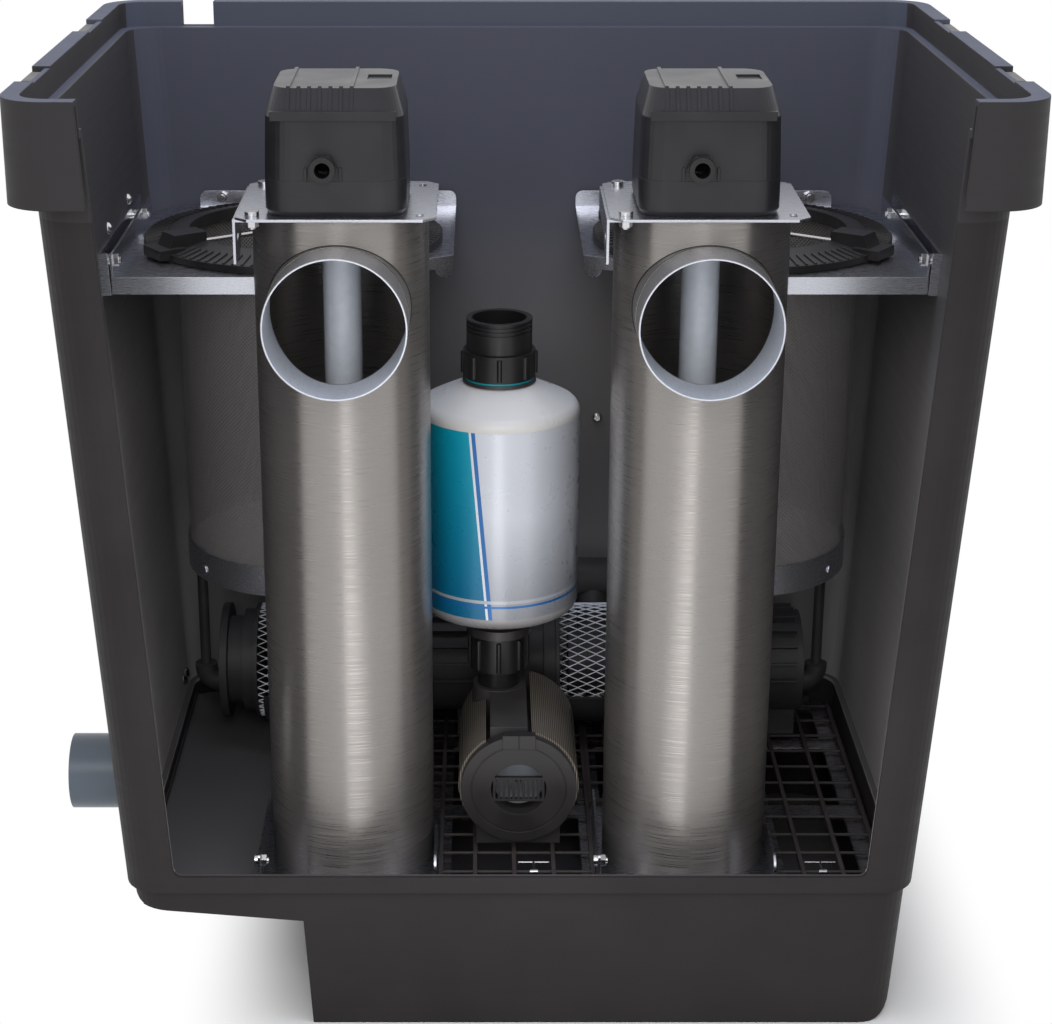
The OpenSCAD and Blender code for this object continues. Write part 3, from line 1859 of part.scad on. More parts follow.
module discharge_pipes() {
  elbow_drop = 31;
  left_past = 42;
  right_past = 192;
  manifold_from = rear_left_x + pump_neck_x - left_past;
  manifold_to = rear_right_x + pump_neck_x + right_past;
  reach = norm([manifold_y - rear_y, manifold_z - rear_z]);
  end_x = [rear_left_x, rear_right_x + rear_l];
  color("#26272a") {
    difference() {
      union() {
        translate([manifold_from, manifold_y, manifold_z])
          along_x(manifold_d / 2, manifold_to - manifold_from);
        for (side = [-1, 1])
          at_rear(side)
            at_pump_neck()
              translate([0, 0, pump_neck_end])
                cylinder(r = pump_neck_r, h = reach - pump_neck_end);
      }
      translate([manifold_from + pipe_wall, manifold_y, manifold_z])
        along_x(manifold_d / 2 - pipe_wall, manifold_to - manifold_from - 2 * pipe_wall);
      for (side = [-1, 1])
        at_rear(side)
          at_pump_neck()
            translate([0, 0, pump_neck_end - over])
              cylinder(r = pump_neck_bore, h = reach - pump_neck_end + over);
    }
    for (i = [0, 1])
      translate([end_x[i], rear_y, rear_z - elbow_drop])
        hand(2 * i - 1)
          side_riser();
  }
}

// ---------------------------------------------------------------- pieces

tank();
rim_clips();
wall_bolts();
outlet_pipe();
outlet_seal();
support_frame();
centre_grate();
right_grate();
centre_grate_pull();
right_grate_pull();
uv_foot(-1);  // left_uv_foot
uv_foot(1);  // right_uv_foot
uv_tube(-1);  // left_uv_tube
uv_tube(1);  // right_uv_tube
uv_plate(-1);  // left_uv_plate
uv_plate(1);  // right_uv_plate
uv_bracket(-1);  // left_uv_bracket
uv_bracket(1);  // right_uv_bracket
uv_screws();
uv_head_base(-1);  // left_uv_head_base
uv_head_base(1);  // right_uv_head_base
uv_head_cover(-1);  // left_uv_head_cover
uv_head_cover(1);  // right_uv_head_cover
uv_gland(-1);  // left_uv_gland
uv_gland(1);  // right_uv_gland
uv_sleeve(-1);  // left_uv_sleeve
uv_sleeve(1);  // right_uv_sleeve
uv_lamps();
shelf(-1);  // left_shelf
shelf(1);  // right_shelf
shelf_flanges();
wall_brackets();
shelf_bolts();
basket_mesh(-1);  // left_basket_mesh
basket_mesh(1);  // right_basket_mesh
basket_band(-1);  // left_basket_band
basket_band(1);  // right_basket_band
lid_ring(-1);  // left_lid_ring
lid_ring(1);  // right_lid_ring
bail(-1);  // left_bail
bail(1);  // right_bail
canister_body();
canister_media();
canister_union_nut();
canister_spigot();
canister_gasket();
neck_rings();
lower_union_nut();
pump_riser();
pump_body();
pump_intake_disc();
pump_strainer_shells();
pump_rotor();
rear_pump(-1);  // left_rear_pump
rear_pump(1);  // right_rear_pump
rear_strainer(-1);  // left_rear_strainer
rear_strainer(1);  // right_rear_strainer
rear_rotor(-1);  // left_rear_rotor
rear_rotor(1);  // right_rear_rotor
discharge_pipes();
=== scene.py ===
# %% [markdown]
# # Cut-away pond filter chamber
# A black polyethylene tub with its front wall cut away shows two brushed steel
# ultraviolet clarifiers, two strainer baskets with black lid rings, a small canister on
# its own pump and two circulation pumps. Its shapes come from a fixed CAD frame, so the
# work here is finish, light and the fine pieces that are too small for the CAD model.

# %% Load the frame
import math

import bpy
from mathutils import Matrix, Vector


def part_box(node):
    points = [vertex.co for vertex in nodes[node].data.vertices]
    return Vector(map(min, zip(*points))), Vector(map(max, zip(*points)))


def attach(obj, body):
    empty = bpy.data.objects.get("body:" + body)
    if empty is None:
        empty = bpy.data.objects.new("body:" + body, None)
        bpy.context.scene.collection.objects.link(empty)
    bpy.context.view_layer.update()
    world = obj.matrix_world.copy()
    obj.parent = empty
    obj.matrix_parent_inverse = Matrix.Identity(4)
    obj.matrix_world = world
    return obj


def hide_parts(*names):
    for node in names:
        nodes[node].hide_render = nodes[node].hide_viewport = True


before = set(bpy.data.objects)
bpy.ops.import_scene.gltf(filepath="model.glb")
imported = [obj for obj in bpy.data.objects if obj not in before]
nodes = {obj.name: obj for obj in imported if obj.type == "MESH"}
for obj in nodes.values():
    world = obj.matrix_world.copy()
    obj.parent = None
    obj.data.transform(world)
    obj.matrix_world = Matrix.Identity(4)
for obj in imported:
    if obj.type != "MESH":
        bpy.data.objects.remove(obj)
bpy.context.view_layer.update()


# %% [markdown]
# Sizes are written in millimetres, as on a drawing, and turned to Blender's metres by one
# function. Colours are written as the hex values that a paint chart uses. Blender wants
# linear light, so one function turns a hex value to linear numbers.

# %% Units and colour
def mm(value):
    return value / 1000.0


def linear(hex_colour):
    """Turns an sRGB hex colour such as "#262323" to a linear colour with alpha 1."""
    channels = [int(hex_colour[i : i + 2], 16) / 255.0 for i in (1, 3, 5)]
    light = [c / 12.92 if c <= 0.04045 else ((c + 0.055) / 1.055) ** 2.4 for c in channels]
    return (*light, 1.0)


def scaled(colour, factor):
    """A linear colour made lighter or darker by a factor."""
    return tuple(channel * factor for channel in colour[:3]) + (1.0,)


print("black polyethylene in linear light", [round(c, 4) for c in linear("#262323")])


# %% [markdown]
# A material is a small tree of nodes. One function adds a node, sets its properties and
# fills its sockets: with a plain value, with another node's output, or with a node, which
# then stands for its first output. Sockets are given by name, or as a tuple in the
# node's own order. Everything below is built from it.

# %% The one node helper
def add(tree, kind, sockets=(), **settings):
    node = tree.nodes.new("ShaderNode" + kind)
    for name, value in settings.items():
        setattr(node, name, value)
    named = sockets if isinstance(sockets, dict) else dict(enumerate(sockets))
    for name, value in named.items():
        connect(tree, value, node, name)
    return node


def connect(tree, value, node, name):
    """Fills one socket of a node."""
    if isinstance(value, bpy.types.Node):
        value = value.outputs[0]
    if isinstance(value, bpy.types.NodeSocket):
        tree.links.new(value, node.inputs[name])
    else:
        node.inputs[name].default_value = value


def new_material(name):
    """An empty material: returns it with its tree and a Principled shader on its output."""
    material = bpy.data.materials.new(name)
    material.use_nodes = True
    tree = material.node_tree
    tree.nodes.clear()
    shader = add(tree, "BsdfPrincipled")
    add(tree, "OutputMaterial", {"Surface": shader.outputs["BSDF"]})
    return material, tree, shader


def reopen(material):
    """The tree, the shader and the base colour of a material that is refined further."""
    tree = material.node_tree
    shader = tree.nodes["Principled BSDF"]
    return tree, shader, shader.inputs["Base Color"].links[0].from_socket


# %% [markdown]
# The pieces keep their place in the frame, so the Object coordinate is a real position in
# metres. Noise scales are therefore the inverse of a real grain size. Round pieces need
# the position measured round their axis instead: the arc length, the height and the
# radius. That is worked out with a few maths nodes.

# %% Positions and masks for the patterns
def position(tree):
    return add(tree, "TexCoord").outputs["Object"]


def both(tree, *masks):
    """1 where every mask is 1, else 0."""
    together = masks[0]
    for mask in masks[1:]:
        together = add(tree, "Math", (together, mask), operation="MULTIPLY")
    return together


def smooth_step(tree, value, start, end):
    """0 at start and 1 at end, with a soft curve between. End may be the lower one."""
    sockets = {"Value": value, "From Min": start, "From Max": end}
    return add(tree, "MapRange", sockets, interpolation_type="SMOOTHSTEP")


def distance(tree, x, y):
    flat = add(tree, "CombineXYZ", (x, y))
    return add(tree, "VectorMath", (flat,), operation="LENGTH").outputs["Value"]


def past_rectangle(tree, split, middles, reaches):
    """Distance in metres past a rectangle with these middles and half sizes in X and Y."""
    past = []
    for axis, middle, reach in zip("XY", middles, reaches):
        aside = add(tree, "Math", (split.outputs[axis], middle), operation="SUBTRACT")
        away = add(tree, "Math", (aside,), operation="ABSOLUTE")
        side = add(tree, "Math", (away, reach), operation="SUBTRACT")
        past.append(add(tree, "Math", (side, 0.0), operation="MAXIMUM"))
    return distance(tree, past[0], past[1])


def round_axis(tree, centre, radius):
    """Arc length, height and radius round a vertical axis through centre, in metres."""
    away = add(tree, "VectorMath", (position(tree), centre), operation="SUBTRACT")
    x, y, z = add(tree, "SeparateXYZ", (away,)).outputs
    angle = add(tree, "Math", (x, y), operation="ARCTAN2")
    arc = add(tree, "Math", (angle, radius), operation="MULTIPLY")
    return arc, z, distance(tree, x, y)


# %% Noise, layers and relief
def speckle(tree, where, grain, detail=2.0, stretch=None):
    """Noise with grains of a real size in metres, optionally stretched by a factor each way."""
    if stretch:
        where = add(tree, "VectorMath", (where, stretch), operation="MULTIPLY")
    noise = add(tree, "TexNoise", {"Vector": where, "Scale": 1.0 / grain, "Detail": detail})
    return noise.outputs["Fac"]


def spread(tree, value, low, high):
    """Maps a noise value of about 0.3 to 0.7 to a wanted range."""
    sockets = {"Value": value, "From Min": 0.3, "From Max": 0.7, "To Min": low, "To Max": high}
    return add(tree, "MapRange", sockets)


def lay_colour(tree, mask, under, over):
    """Lays a colour over another where the mask is 1. In between, both show."""
    sockets = {0: mask, 6: under, 7: over}
    return add(tree, "Mix", sockets, data_type="RGBA").outputs[2]


def relief(tree, height, depth, strength, edge):
    """Bumps of a real depth in metres, on edges softened to a radius in metres."""
    normal = add(tree, "Bevel", {"Radius": edge}, samples=4)
    sockets = {"Height": height, "Distance": depth, "Strength": strength, "Normal": normal}
    return add(tree, "Bump", sockets)


# %% [markdown]
# ## Camera
# The camera stands 2.7 m in front of the tub's middle and 1.5 m up, and looks 20 degrees
# down through a long lens. The small shift only moves the frame sideways, so that the
# tub sits in the middle of the picture.

# %% Camera
IMAGE = (1052, 1024)
FOCAL_PIXELS = 2297.0
CENTRE_PIXEL = (485.3, 513.3)
SENSOR_WIDTH = 36.0
LOOK_DOWN = 20.04
lens_data = bpy.data.cameras.new("studio_camera")
lens_data.sensor_fit = "HORIZONTAL"
lens_data.sensor_width = SENSOR_WIDTH
lens_data.lens = SENSOR_WIDTH * FOCAL_PIXELS / IMAGE[0]
lens_data.shift_x = (IMAGE[0] / 2 - CENTRE_PIXEL[0]) / IMAGE[0]
lens_data.shift_y = (CENTRE_PIXEL[1] - IMAGE[1] / 2) / IMAGE[0]
camera = bpy.data.objects.new("studio_camera", lens_data)
camera.location = (mm(-41), mm(-2706), mm(1534))
camera.rotation_euler = (math.radians(90 - LOOK_DOWN), 0.0, 0.0)
bpy.context.scene.collection.objects.link(camera)
bpy.context.scene.camera = camera
print("lens", round(lens_data.lens, 2), "mm, shift", round(lens_data.shift_x, 4))


# %% [markdown]
# ## Light and floor
# Brushed steel shows what stands round it, so the light is a bright room: one wide
# softbox high in front, one on each side, a cool one above that reaches into the tub,
# and a white world that fills the shadows. The one above isn't mirrored, so that the
# steel's flat plates stay grey. A long low strip light lies on the floor in front, and
# the upright tubes mirror it as one narrow bright band down their middle. A weak panel
# in the cut-away window fills the deep shadows inside.
#
# The world lights the scene at about half of what the camera and mirrors see of it. So
# the backdrop is white, and pale surfaces still don't clip.

# %% World and softboxes
WORLD_LIGHT = 0.55
WORLD_SEEN = 1.0
WHITE = (1, 1, 1, 1)


def seen_directly(tree):
    """1 for rays from the camera, from mirrors and through glass; 0 for light on surfaces."""
    path = add(tree, "LightPath")
    camera_ray, mirror_ray = path.outputs["Is Camera Ray"], path.outputs["Is Glossy Ray"]
    seen = add(tree, "Math", (camera_ray, mirror_ray), operation="MAXIMUM")
    glass_ray = path.outputs["Is Transmission Ray"]
    return add(tree, "Math", (seen, glass_ray), operation="MAXIMUM")


scene = bpy.context.scene
scene.view_settings.view_transform = "Standard"
world = bpy.data.worlds.new("white_room")
world.use_nodes = True
scene.world = world
room = world.node_tree
room.nodes.clear()
levels = {"Value": seen_directly(room), "To Min": WORLD_LIGHT, "To Max": WORLD_SEEN}
strength = add(room, "MapRange", levels)
white_sky = add(room, "Background", {"Color": WHITE, "Strength": strength})
add(room, "OutputWorld", {"Surface": white_sky})


def softbox(name, place, aim, size, power, tint="#ffffff"):
    lamp = bpy.data.lights.new(name, "AREA")
    lamp.shape = "RECTANGLE"
    lamp.color = linear(tint)[:3]
    lamp.size, lamp.size_y = size
    lamp.energy = power
    box = bpy.data.objects.new(name, lamp)
    box.location = place
    box.rotation_euler = (Vector(aim) - Vector(place)).to_track_quat("-Z", "Y").to_euler()
    scene.collection.objects.link(box)
    return box


softbox("front_softbox", (-0.3, -3.4, 2.7), (0, 0, 0.55), (1.6, 1.6), power=30)
top = softbox("top_softbox", (0.0, -0.1, 2.9), (0, 0, 0.5), (1.6, 1.3), power=40, tint="#d9e4ff")
top.visible_glossy = False
softbox("left_softbox", (-2.8, -1.2, 1.9), (0, 0, 0.6), (1.2, 1.8), power=4)
softbox("right_softbox", (2.9, -1.0, 1.8), (0, 0, 0.6), (1.2, 1.8), power=4)
strip = softbox("floor_strip_light", (-0.05, -1.95, 0.01), (-0.05, -1.95, 1.0), (0.4, 2.5), power=7)
strip.rotation_euler = (math.pi, 0.0, 0.0)
strip.visible_diffuse = False
fill = softbox("window_fill", (0.0, -0.46, 0.66), (0.0, 0.3, 0.60), (0.78, 0.86), power=2)
fill.visible_glossy = False


# %% [markdown]
# The floor is pale paint. Past the sump's foot it turns to plain white within 17 cm, for
# the camera and for what mirrors it, and close to the foot it keeps the tub's shadow.

# %% Floor
FOOT_MIDDLE = (mm(102), 0.0)
FOOT_REACH = (mm(352), mm(296))
WHITE_AT = mm(170)
FLOOR_HALF = 30.0


def pale_floor():
    material, tree, shader = new_material("pale_floor_paint")
    shader.inputs["Base Color"].default_value = (0.9, 0.9, 0.9, 1)
    shader.inputs["Roughness"].default_value = 0.9
    split = add(tree, "SeparateXYZ", {0: position(tree)})
    away = past_rectangle(tree, split, FOOT_MIDDLE, FOOT_REACH)
    factor = both(tree, smooth_step(tree, away, 0.0, WHITE_AT), seen_directly(tree))
    white = add(tree, "Emission", {"Color": WHITE, "Strength": 1.0})
    mixed = add(tree, "MixShader", (factor, shader, white))
    output = [n for n in tree.nodes if n.type == "OUTPUT_MATERIAL"][0]
    connect(tree, mixed, output, "Surface")
    return material


floor_mesh = bpy.data.meshes.new("pale_floor")
floor_signs = ((-1, -1), (1, -1), (1, 1), (-1, 1))
floor_corners = [(x * FLOOR_HALF, y * FLOOR_HALF, 0) for x, y in floor_signs]
floor_mesh.from_pydata(floor_corners, [], [(0, 1, 2, 3)])
floor = bpy.data.objects.new("pale_floor", floor_mesh)
floor.location.z = mm(-0.5)
floor_mesh.materials.append(pale_floor())
scene.collection.objects.link(floor)
print("floor at", floor.location.z)


# %% [markdown]
# ## Black polyethylene
# The tub is rotation moulded polyethylene: black, waxy, with a fine leathery skin from
# the mould and a few long scuffs from handling. Its IOR is about 1.5 and its roughness
# is medium, so it shows wide soft reflections. The skin is fine noise of about 1.6 mm
# grain, and larger clouds vary the gloss. The rim is a little lighter, with a painted
# bluish highlight on its top faces and on the front faces of its back part. Inside, the
# walls are painted lighter than outside as painted light: faces that face the front,
# such as the back wall, carry a painted bluish sheen, top faces are lighter, and from
# about 920 mm down a greyish painted lift gets paler towards the floor, so the deep
# shadows there aren't pure black.
#
# Inside is where the distance from the middle is less than the wall's inner face. The
# face leans outwards by the mould's draft and has round corners.

# %% Tub material
RIM_FOOT = mm(1000)
BACK_RIM_Y = mm(200)
INNER_LIFT_HEIGHTS = (mm(920), mm(660))
FLOOR_LIFT_HEIGHTS = (mm(500), mm(250))
SILL_HEIGHT = mm(190)
DRAFT = 0.054
INNER_REACH = (mm(453), mm(303))
INNER_CORNER = mm(43)


def inside_tub(tree, split, upward):
    slope = add(tree, "Math", (split.outputs["Z"], DRAFT), operation="MULTIPLY")
    reaches = []
    for reach in INNER_REACH:
        reaches.append(add(tree, "Math", (slope, reach - INNER_CORNER), operation="ADD"))
    past = past_rectangle(tree, split, (0.0, 0.0), reaches)
    within = add(tree, "Math", (past, INNER_CORNER), operation="LESS_THAN")
    over = add(tree, "Math", (split.outputs["Z"], SILL_HEIGHT), operation="GREATER_THAN")
    over = add(tree, "Math", (over, upward), operation="MAXIMUM")
    return both(tree, over, within)


def black_polyethylene():
    material, tree, shader = new_material("rotomoulded_black_polyethylene")
    where = position(tree)
    split = add(tree, "SeparateXYZ", {0: where})
    height = split.outputs["Z"]
    normal = add(tree, "SeparateXYZ", {0: add(tree, "NewGeometry").outputs["Normal"]})
    upward = add(tree, "Math", (normal.outputs["Z"], 0.5), operation="GREATER_THAN")
    faces_front = add(tree, "Math", (normal.outputs["Y"], -0.6), operation="LESS_THAN")

    cloud = speckle(tree, where, mm(140), 3.0)
    patches = spread(tree, cloud, 0.1, 0.9)
    shell = lay_colour(tree, patches, linear("#262323"), linear("#302d2d"))
    # The rim is a little lighter; painted bluish highlight on its top faces and on the front faces
    # of its back part.
    rim = add(tree, "Math", (height, RIM_FOOT), operation="GREATER_THAN")
    shell = lay_colour(tree, rim, shell, linear("#373536"))
    shell = lay_colour(tree, both(tree, upward, rim), shell, linear("#4a4c57"))
    at_back = add(tree, "Math", (split.outputs["Y"], BACK_RIM_Y), operation="GREATER_THAN")
    back_rim = both(tree, faces_front, rim, at_back)
    shell = lay_colour(tree, back_rim, shell, linear("#4d505c"))

    # Painted light inside: lighter walls, a bluish painted sheen on faces that face the front,
    # lighter top faces, and a greyish painted lift lower down that gets paler towards the floor.
    front_face_sheen = lay_colour(tree, faces_front, linear("#3b3a3b"), linear("#4a4b55"))
    floor_lift_mask = smooth_step(tree, height, *FLOOR_LIFT_HEIGHTS)
    lime_haze_and_painted_lift = lay_colour(tree, floor_lift_mask, linear("#706d6c"), linear("#94908e"))
    inner_painted_light = lay_colour(tree, smooth_step(tree, height, *INNER_LIFT_HEIGHTS), front_face_sheen, lime_haze_and_painted_lift)
    inner_painted_light = lay_colour(tree, upward, inner_painted_light, linear("#4f4d4d"))
    inside = inside_tub(tree, split, upward)
    connect(tree, lay_colour(tree, inside, shell, inner_painted_light), shader, "Base Color")

    scuffs = speckle(tree, where, mm(60), 4.0, (0.35, 0.35, 6.0))
    waxy, rubbed = spread(tree, cloud, 0.52, 0.62), spread(tree, scuffs, -0.03, 0.05)
    rough = add(tree, "Math", (waxy, rubbed), operation="ADD")
    connect(tree, rough, shader, "Roughness")
    skin = speckle(tree, where, mm(1.6), 3.0)
    connect(tree, relief(tree, skin, mm(0.12), 0.35, mm(2.2)), shader, "Normal")
    shader.inputs["IOR"].default_value = 1.5
    shader.inputs["Specular IOR Level"].default_value = 0.18
    return material


# %% [markdown]
# ## Brushed stainless steel
# The clarifier tubes are rolled from brushed sheet, and the brush lines run round the
# tube. Each line is a shallow scratch of its own gloss, so the bright band breaks into
# fine hairs at its edges, and light is smeared upwards across the scratches. A dull
# film in the scratches scatters a little light, so the flanks are warm grey, not black.
# The lines are about 0.3 mm apart on the real sheet and are drawn at 0.9 mm, which is
# what shows in a picture of this size. Folded sheet parts are brushed along X.

# %% Brushed steel
def brushed_steel(name, colour, rough, lines, along, grain=0.8, contrast=0.12, depth=0.02,
                  vary=0.05, metallic=1.0):
    """Steel with scratches. Grain and depth are in millimetres, and lines are the factors
    that draw the noise out to scratches."""
    material, tree, shader = new_material(name)
    hair = speckle(tree, along(tree), mm(grain), 1.0, lines)
    cloud = speckle(tree, position(tree), mm(90), 2.0)
    lines_tint, cloud_tint = spread(tree, hair, 0.2, 0.8), spread(tree, cloud, -0.15, 0.15)
    tint = add(tree, "Math", (lines_tint, cloud_tint), operation="ADD")
    light = linear(colour)
    connect(tree, lay_colour(tree, tint, scaled(light, 1 - contrast), light), shader, "Base Color")
    connect(tree, spread(tree, hair, rough - vary, rough + vary), shader, "Roughness")
    connect(tree, relief(tree, hair, mm(depth), 0.5, mm(0.8)), shader, "Normal")
    shader.inputs["Metallic"].default_value = metallic
    return material


# %% [markdown]
# Each tube has a wide inlet stub in front, of paler and duller pipe. Its bore is duller
# still and painted pale bluish, a painted light from the bright room in front. Dark weld
# seams run round the stub, one at the tube's skin and one at the edge of its collar.

# %% Clarifier tubes
TUBE_X = mm(205)
TUBE_Y = mm(-145)
TUBE_RADIUS = mm(100)
TUBE_SKIN = mm(100.3)
STUB_Z = mm(867)
STUB_RADIUS = mm(81.5)
BORE_RADIUS = mm(79.2)
SEAM_RADIUS = mm(80.9)
SEAM_HALF_WIDTH = mm(0.7)
SKIN_SEAM_REACH = mm(101)
COLLAR_EDGE_Y = mm(-248)
COLLAR_SEAM_REACH = mm(1.2)
TUBE_METALLIC = 0.86
STUB_METALLIC_LOSS = -0.18
BORE_METALLIC_LOSS = -0.36


def round_tube(x):
    def along(tree):
        arc, height, radius = round_axis(tree, (x, TUBE_Y, 0.0), TUBE_RADIUS)
        return add(tree, "CombineXYZ", (arc, height, radius))

    return along


def weld_seam(tree, split, away, from_stub):
    """1 on the two thin lines round the stub."""
    y = split.outputs["Y"]
    ring = add(tree, "Math", (from_stub, SEAM_RADIUS, SEAM_HALF_WIDTH), operation="COMPARE")
    front = add(tree, "Math", (y, TUBE_Y - TUBE_RADIUS / 2), operation="LESS_THAN")
    at_collar = add(tree, "Math", (y, COLLAR_EDGE_Y, COLLAR_SEAM_REACH), operation="COMPARE")
    at_skin = add(tree, "Math", (away, SKIN_SEAM_REACH), operation="LESS_THAN")
    on_seam = add(tree, "Math", (at_collar, at_skin), operation="MAXIMUM")
    return both(tree, ring, front, on_seam)


def tube_steel(name, x):
    """Steel brushed round a tube: scratches run round it and smear light up and down."""
    material = brushed_steel(
        name, "#96928f", 0.37, (0.011, 1.0, 1.0), round_tube(x), 0.9, 0.13, 0.009, 0.13
    )
    tree, shader, colour = reopen(material)
    away = round_axis(tree, (x, TUBE_Y, 0.0), TUBE_RADIUS)[2]
    split = add(tree, "SeparateXYZ", {0: position(tree)})
    aside = add(tree, "Math", (split.outputs["X"], x), operation="SUBTRACT")
    over = add(tree, "Math", (split.outputs["Z"], STUB_Z), operation="SUBTRACT")
    from_stub = distance(tree, aside, over)
    near_stub = add(tree, "Math", (from_stub, STUB_RADIUS), operation="LESS_THAN")
    off_tube = add(tree, "Math", (away, TUBE_SKIN), operation="GREATER_THAN")
    in_stub = both(tree, near_stub, off_tube)
    in_hole = add(tree, "Math", (from_stub, BORE_RADIUS), operation="LESS_THAN")
    in_bore = both(tree, in_stub, in_hole)
    colour = lay_colour(tree, in_stub, colour, linear("#9f9d9c"))
    # Painted light: the bore is painted pale bluish.
    colour = lay_colour(tree, in_bore, colour, linear("#bdc2cd"))
    seam = weld_seam(tree, split, away, from_stub)
    connect(tree, lay_colour(tree, seam, colour, linear("#3a3837")), shader, "Base Color")
    stub_loss = add(tree, "Math", (in_stub, STUB_METALLIC_LOSS), operation="MULTIPLY")
    bore_loss = add(tree, "Math", (in_bore, BORE_METALLIC_LOSS), operation="MULTIPLY")
    dull = add(tree, "Math", (stub_loss, bore_loss), operation="ADD")
    metallic = add(tree, "Math", (dull, TUBE_METALLIC), operation="ADD")
    connect(tree, metallic, shader, "Metallic")
    shader.inputs["Anisotropic"].default_value = 0.75
    connect(tree, add(tree, "CombineXYZ", {"Z": 1.0}), shader, "Tangent")
    return material


# %% [markdown]
# The pump's strainer shells are thin ribbed steel sheet. The ribs are fine folds along
# the shell, about 2.5 mm apart, and dull with lime, so they catch light from all round.
# The grooves between them are painted dark, a painted shade.

# %% Ribbed strainer sheet
RIB_PITCH = mm(2.5)
GROOVE_SHARE = 0.2


def ribbed_sheet():
    material = brushed_steel(
        "ribbed_strainer_steel", "#8a8277", 0.45, (1.0, 0.05, 1.0), position, metallic=0.45
    )
    tree, shader, colour = reopen(material)
    split = add(tree, "SeparateXYZ", {0: position(tree)})
    pitches = add(tree, "Math", (split.outputs["X"], RIB_PITCH), operation="DIVIDE")
    rib = add(tree, "Math", (pitches, 0.5), operation="PINGPONG")
    # Painted shade: a dark band in each groove between the ribs.
    groove_shade = add(tree, "Math", (rib, GROOVE_SHARE), operation="LESS_THAN")
    connect(tree, lay_colour(tree, groove_shade, colour, linear("#2a2725")), shader, "Base Color")
    return material


# %% [markdown]
# ## Mouldings and rubber
# The lamp heads, lid rings, union nuts and pump housings are injection moulded plastic.
# They differ in gloss: the heads have a satin spark-eroded texture, the lid rings are
# a little duller, and the pump housings are dullest. Pipes, seals and the bottle use the
# same recipe with their own colour, gloss, grain and IOR.

# %% Moulded plastic
def moulded_plastic(name, colour, rough, grain, depth, edge, ior=1.5, vary=0.2, shine=0.5):
    material, tree, shader = new_material(name)
    where = position(tree)
    fine = speckle(tree, where, mm(grain), 3.0)
    cloud = speckle(tree, where, mm(45), 3.0)
    dark = scaled(linear(colour), 1 - vary)
    light = scaled(linear(colour), 1 + vary)
    patches = spread(tree, cloud, 0.0, 1.0)
    connect(tree, lay_colour(tree, patches, dark, light), shader, "Base Color")
    connect(tree, spread(tree, cloud, rough - 0.04, rough + 0.05), shader, "Roughness")
    connect(tree, relief(tree, fine, mm(depth), 0.4, mm(edge)), shader, "Normal")
    shader.inputs["IOR"].default_value = ior
    shader.inputs["Specular IOR Level"].default_value = shine
    return material


# %% [markdown]
# The bottle is blown from white polyethylene. Towards its foot its colour turns grey,
# a painted shade. The quartz sleeves have a white coat of lime.

# %% Bottle and quartz
FOOT_SHADE_HEIGHTS = (mm(500), mm(425))
LIME_HAZE = 0.45


def white_bottle():
    material = moulded_plastic(
        "white_blown_polyethylene", "#b5b3b0", 0.30, 2.5, 0.02, 0.8, vary=0.01
    )
    tree, shader, colour = reopen(material)
    height = add(tree, "SeparateXYZ", {0: position(tree)}).outputs["Z"]
    # Painted shade: the colour turns grey towards the bottle's foot.
    foot_shade = smooth_step(tree, height, *FOOT_SHADE_HEIGHTS)
    connect(tree, lay_colour(tree, foot_shade, colour, linear("#747274")), shader, "Base Color")
    return material


def quartz():
    """Clear quartz with a thin white coat of lime, which shows as a pale haze."""
    material, tree, shader = new_material("quartz_glass")
    shader.inputs["Base Color"].default_value = linear("#e4e9f2")
    shader.inputs["IOR"].default_value = 1.46
    lime_haze_and_painted_lift = spread(tree, speckle(tree, position(tree), mm(12)), 0.03, 0.08)
    connect(tree, lime_haze_and_painted_lift, shader, "Roughness")
    connect(tree, add(tree, "Math", (lime_haze_and_painted_lift, LIME_HAZE), operation="ADD"), shader, "Alpha")
    return material


# %% [markdown]
# ## Finish of each piece
# Each CAD node gets its finish by name. Pieces that come in pairs share one material,
# and only the two tubes have one each, because the brush lines run round each tube's own
# axis. The numbers of a moulding are its roughness, then the grain, the depth and the
# softened edge in millimetres.

# %% Assign the materials to the CAD nodes
EVEN = (1.0, 1.0, 1.0)
tub_black = black_polyethylene()
sheet_steel = brushed_steel(
    "folded_brushed_steel", "#c8cad3", 0.27, (0.03, 1.0, 1.0), position, 0.5, 0.03, 0.002, 0.015
)
head_abs = moulded_plastic("satin_black_abs", "#1f1f22", 0.34, 0.9, 0.10, 1.4, shine=0.36)
ring_abs = moulded_plastic("dull_black_abs", "#262424", 0.36, 0.8, 0.06, 0.8, shine=0.45)
pump_pp = moulded_plastic(
    "dull_black_polypropylene", "#373535", 0.50, 0.9, 0.10, 1.0, shine=0.36
)
fitting_pp = moulded_plastic(
    "black_glass_filled_polypropylene", "#1c1b1c", 0.32, 0.7, 0.05, 0.8, shine=0.36
)
disc_pp = moulded_plastic("charcoal_polypropylene", "#272525", 0.42, 0.8, 0.06, 0.8, shine=0.36)
grey_pvc = moulded_plastic("grey_pipe_pvc", "#57616c", 0.32, 1.2, 0.03, 0.6, vary=0.06)
ring_pvc = moulded_plastic("grey_ring_pvc", "#302d2e", 0.35, 1.2, 0.03, 0.6, vary=0.06)
seal_epdm = moulded_plastic(
    "black_epdm_rubber", "#1f1e1f", 0.62, 1.5, 0.08, 1.0, ior=1.52, shine=0.3
)
gasket_silicone = moulded_plastic(
    "teal_silicone_gasket", "#0c8c9a", 0.42, 1.5, 0.04, 0.4, ior=1.43
)
grate_coat = moulded_plastic(
    "brown_black_coated_steel", "#3a3534", 0.55, 0.8, 0.06, 0.6, shine=0.2
)
bottle_pe = white_bottle()
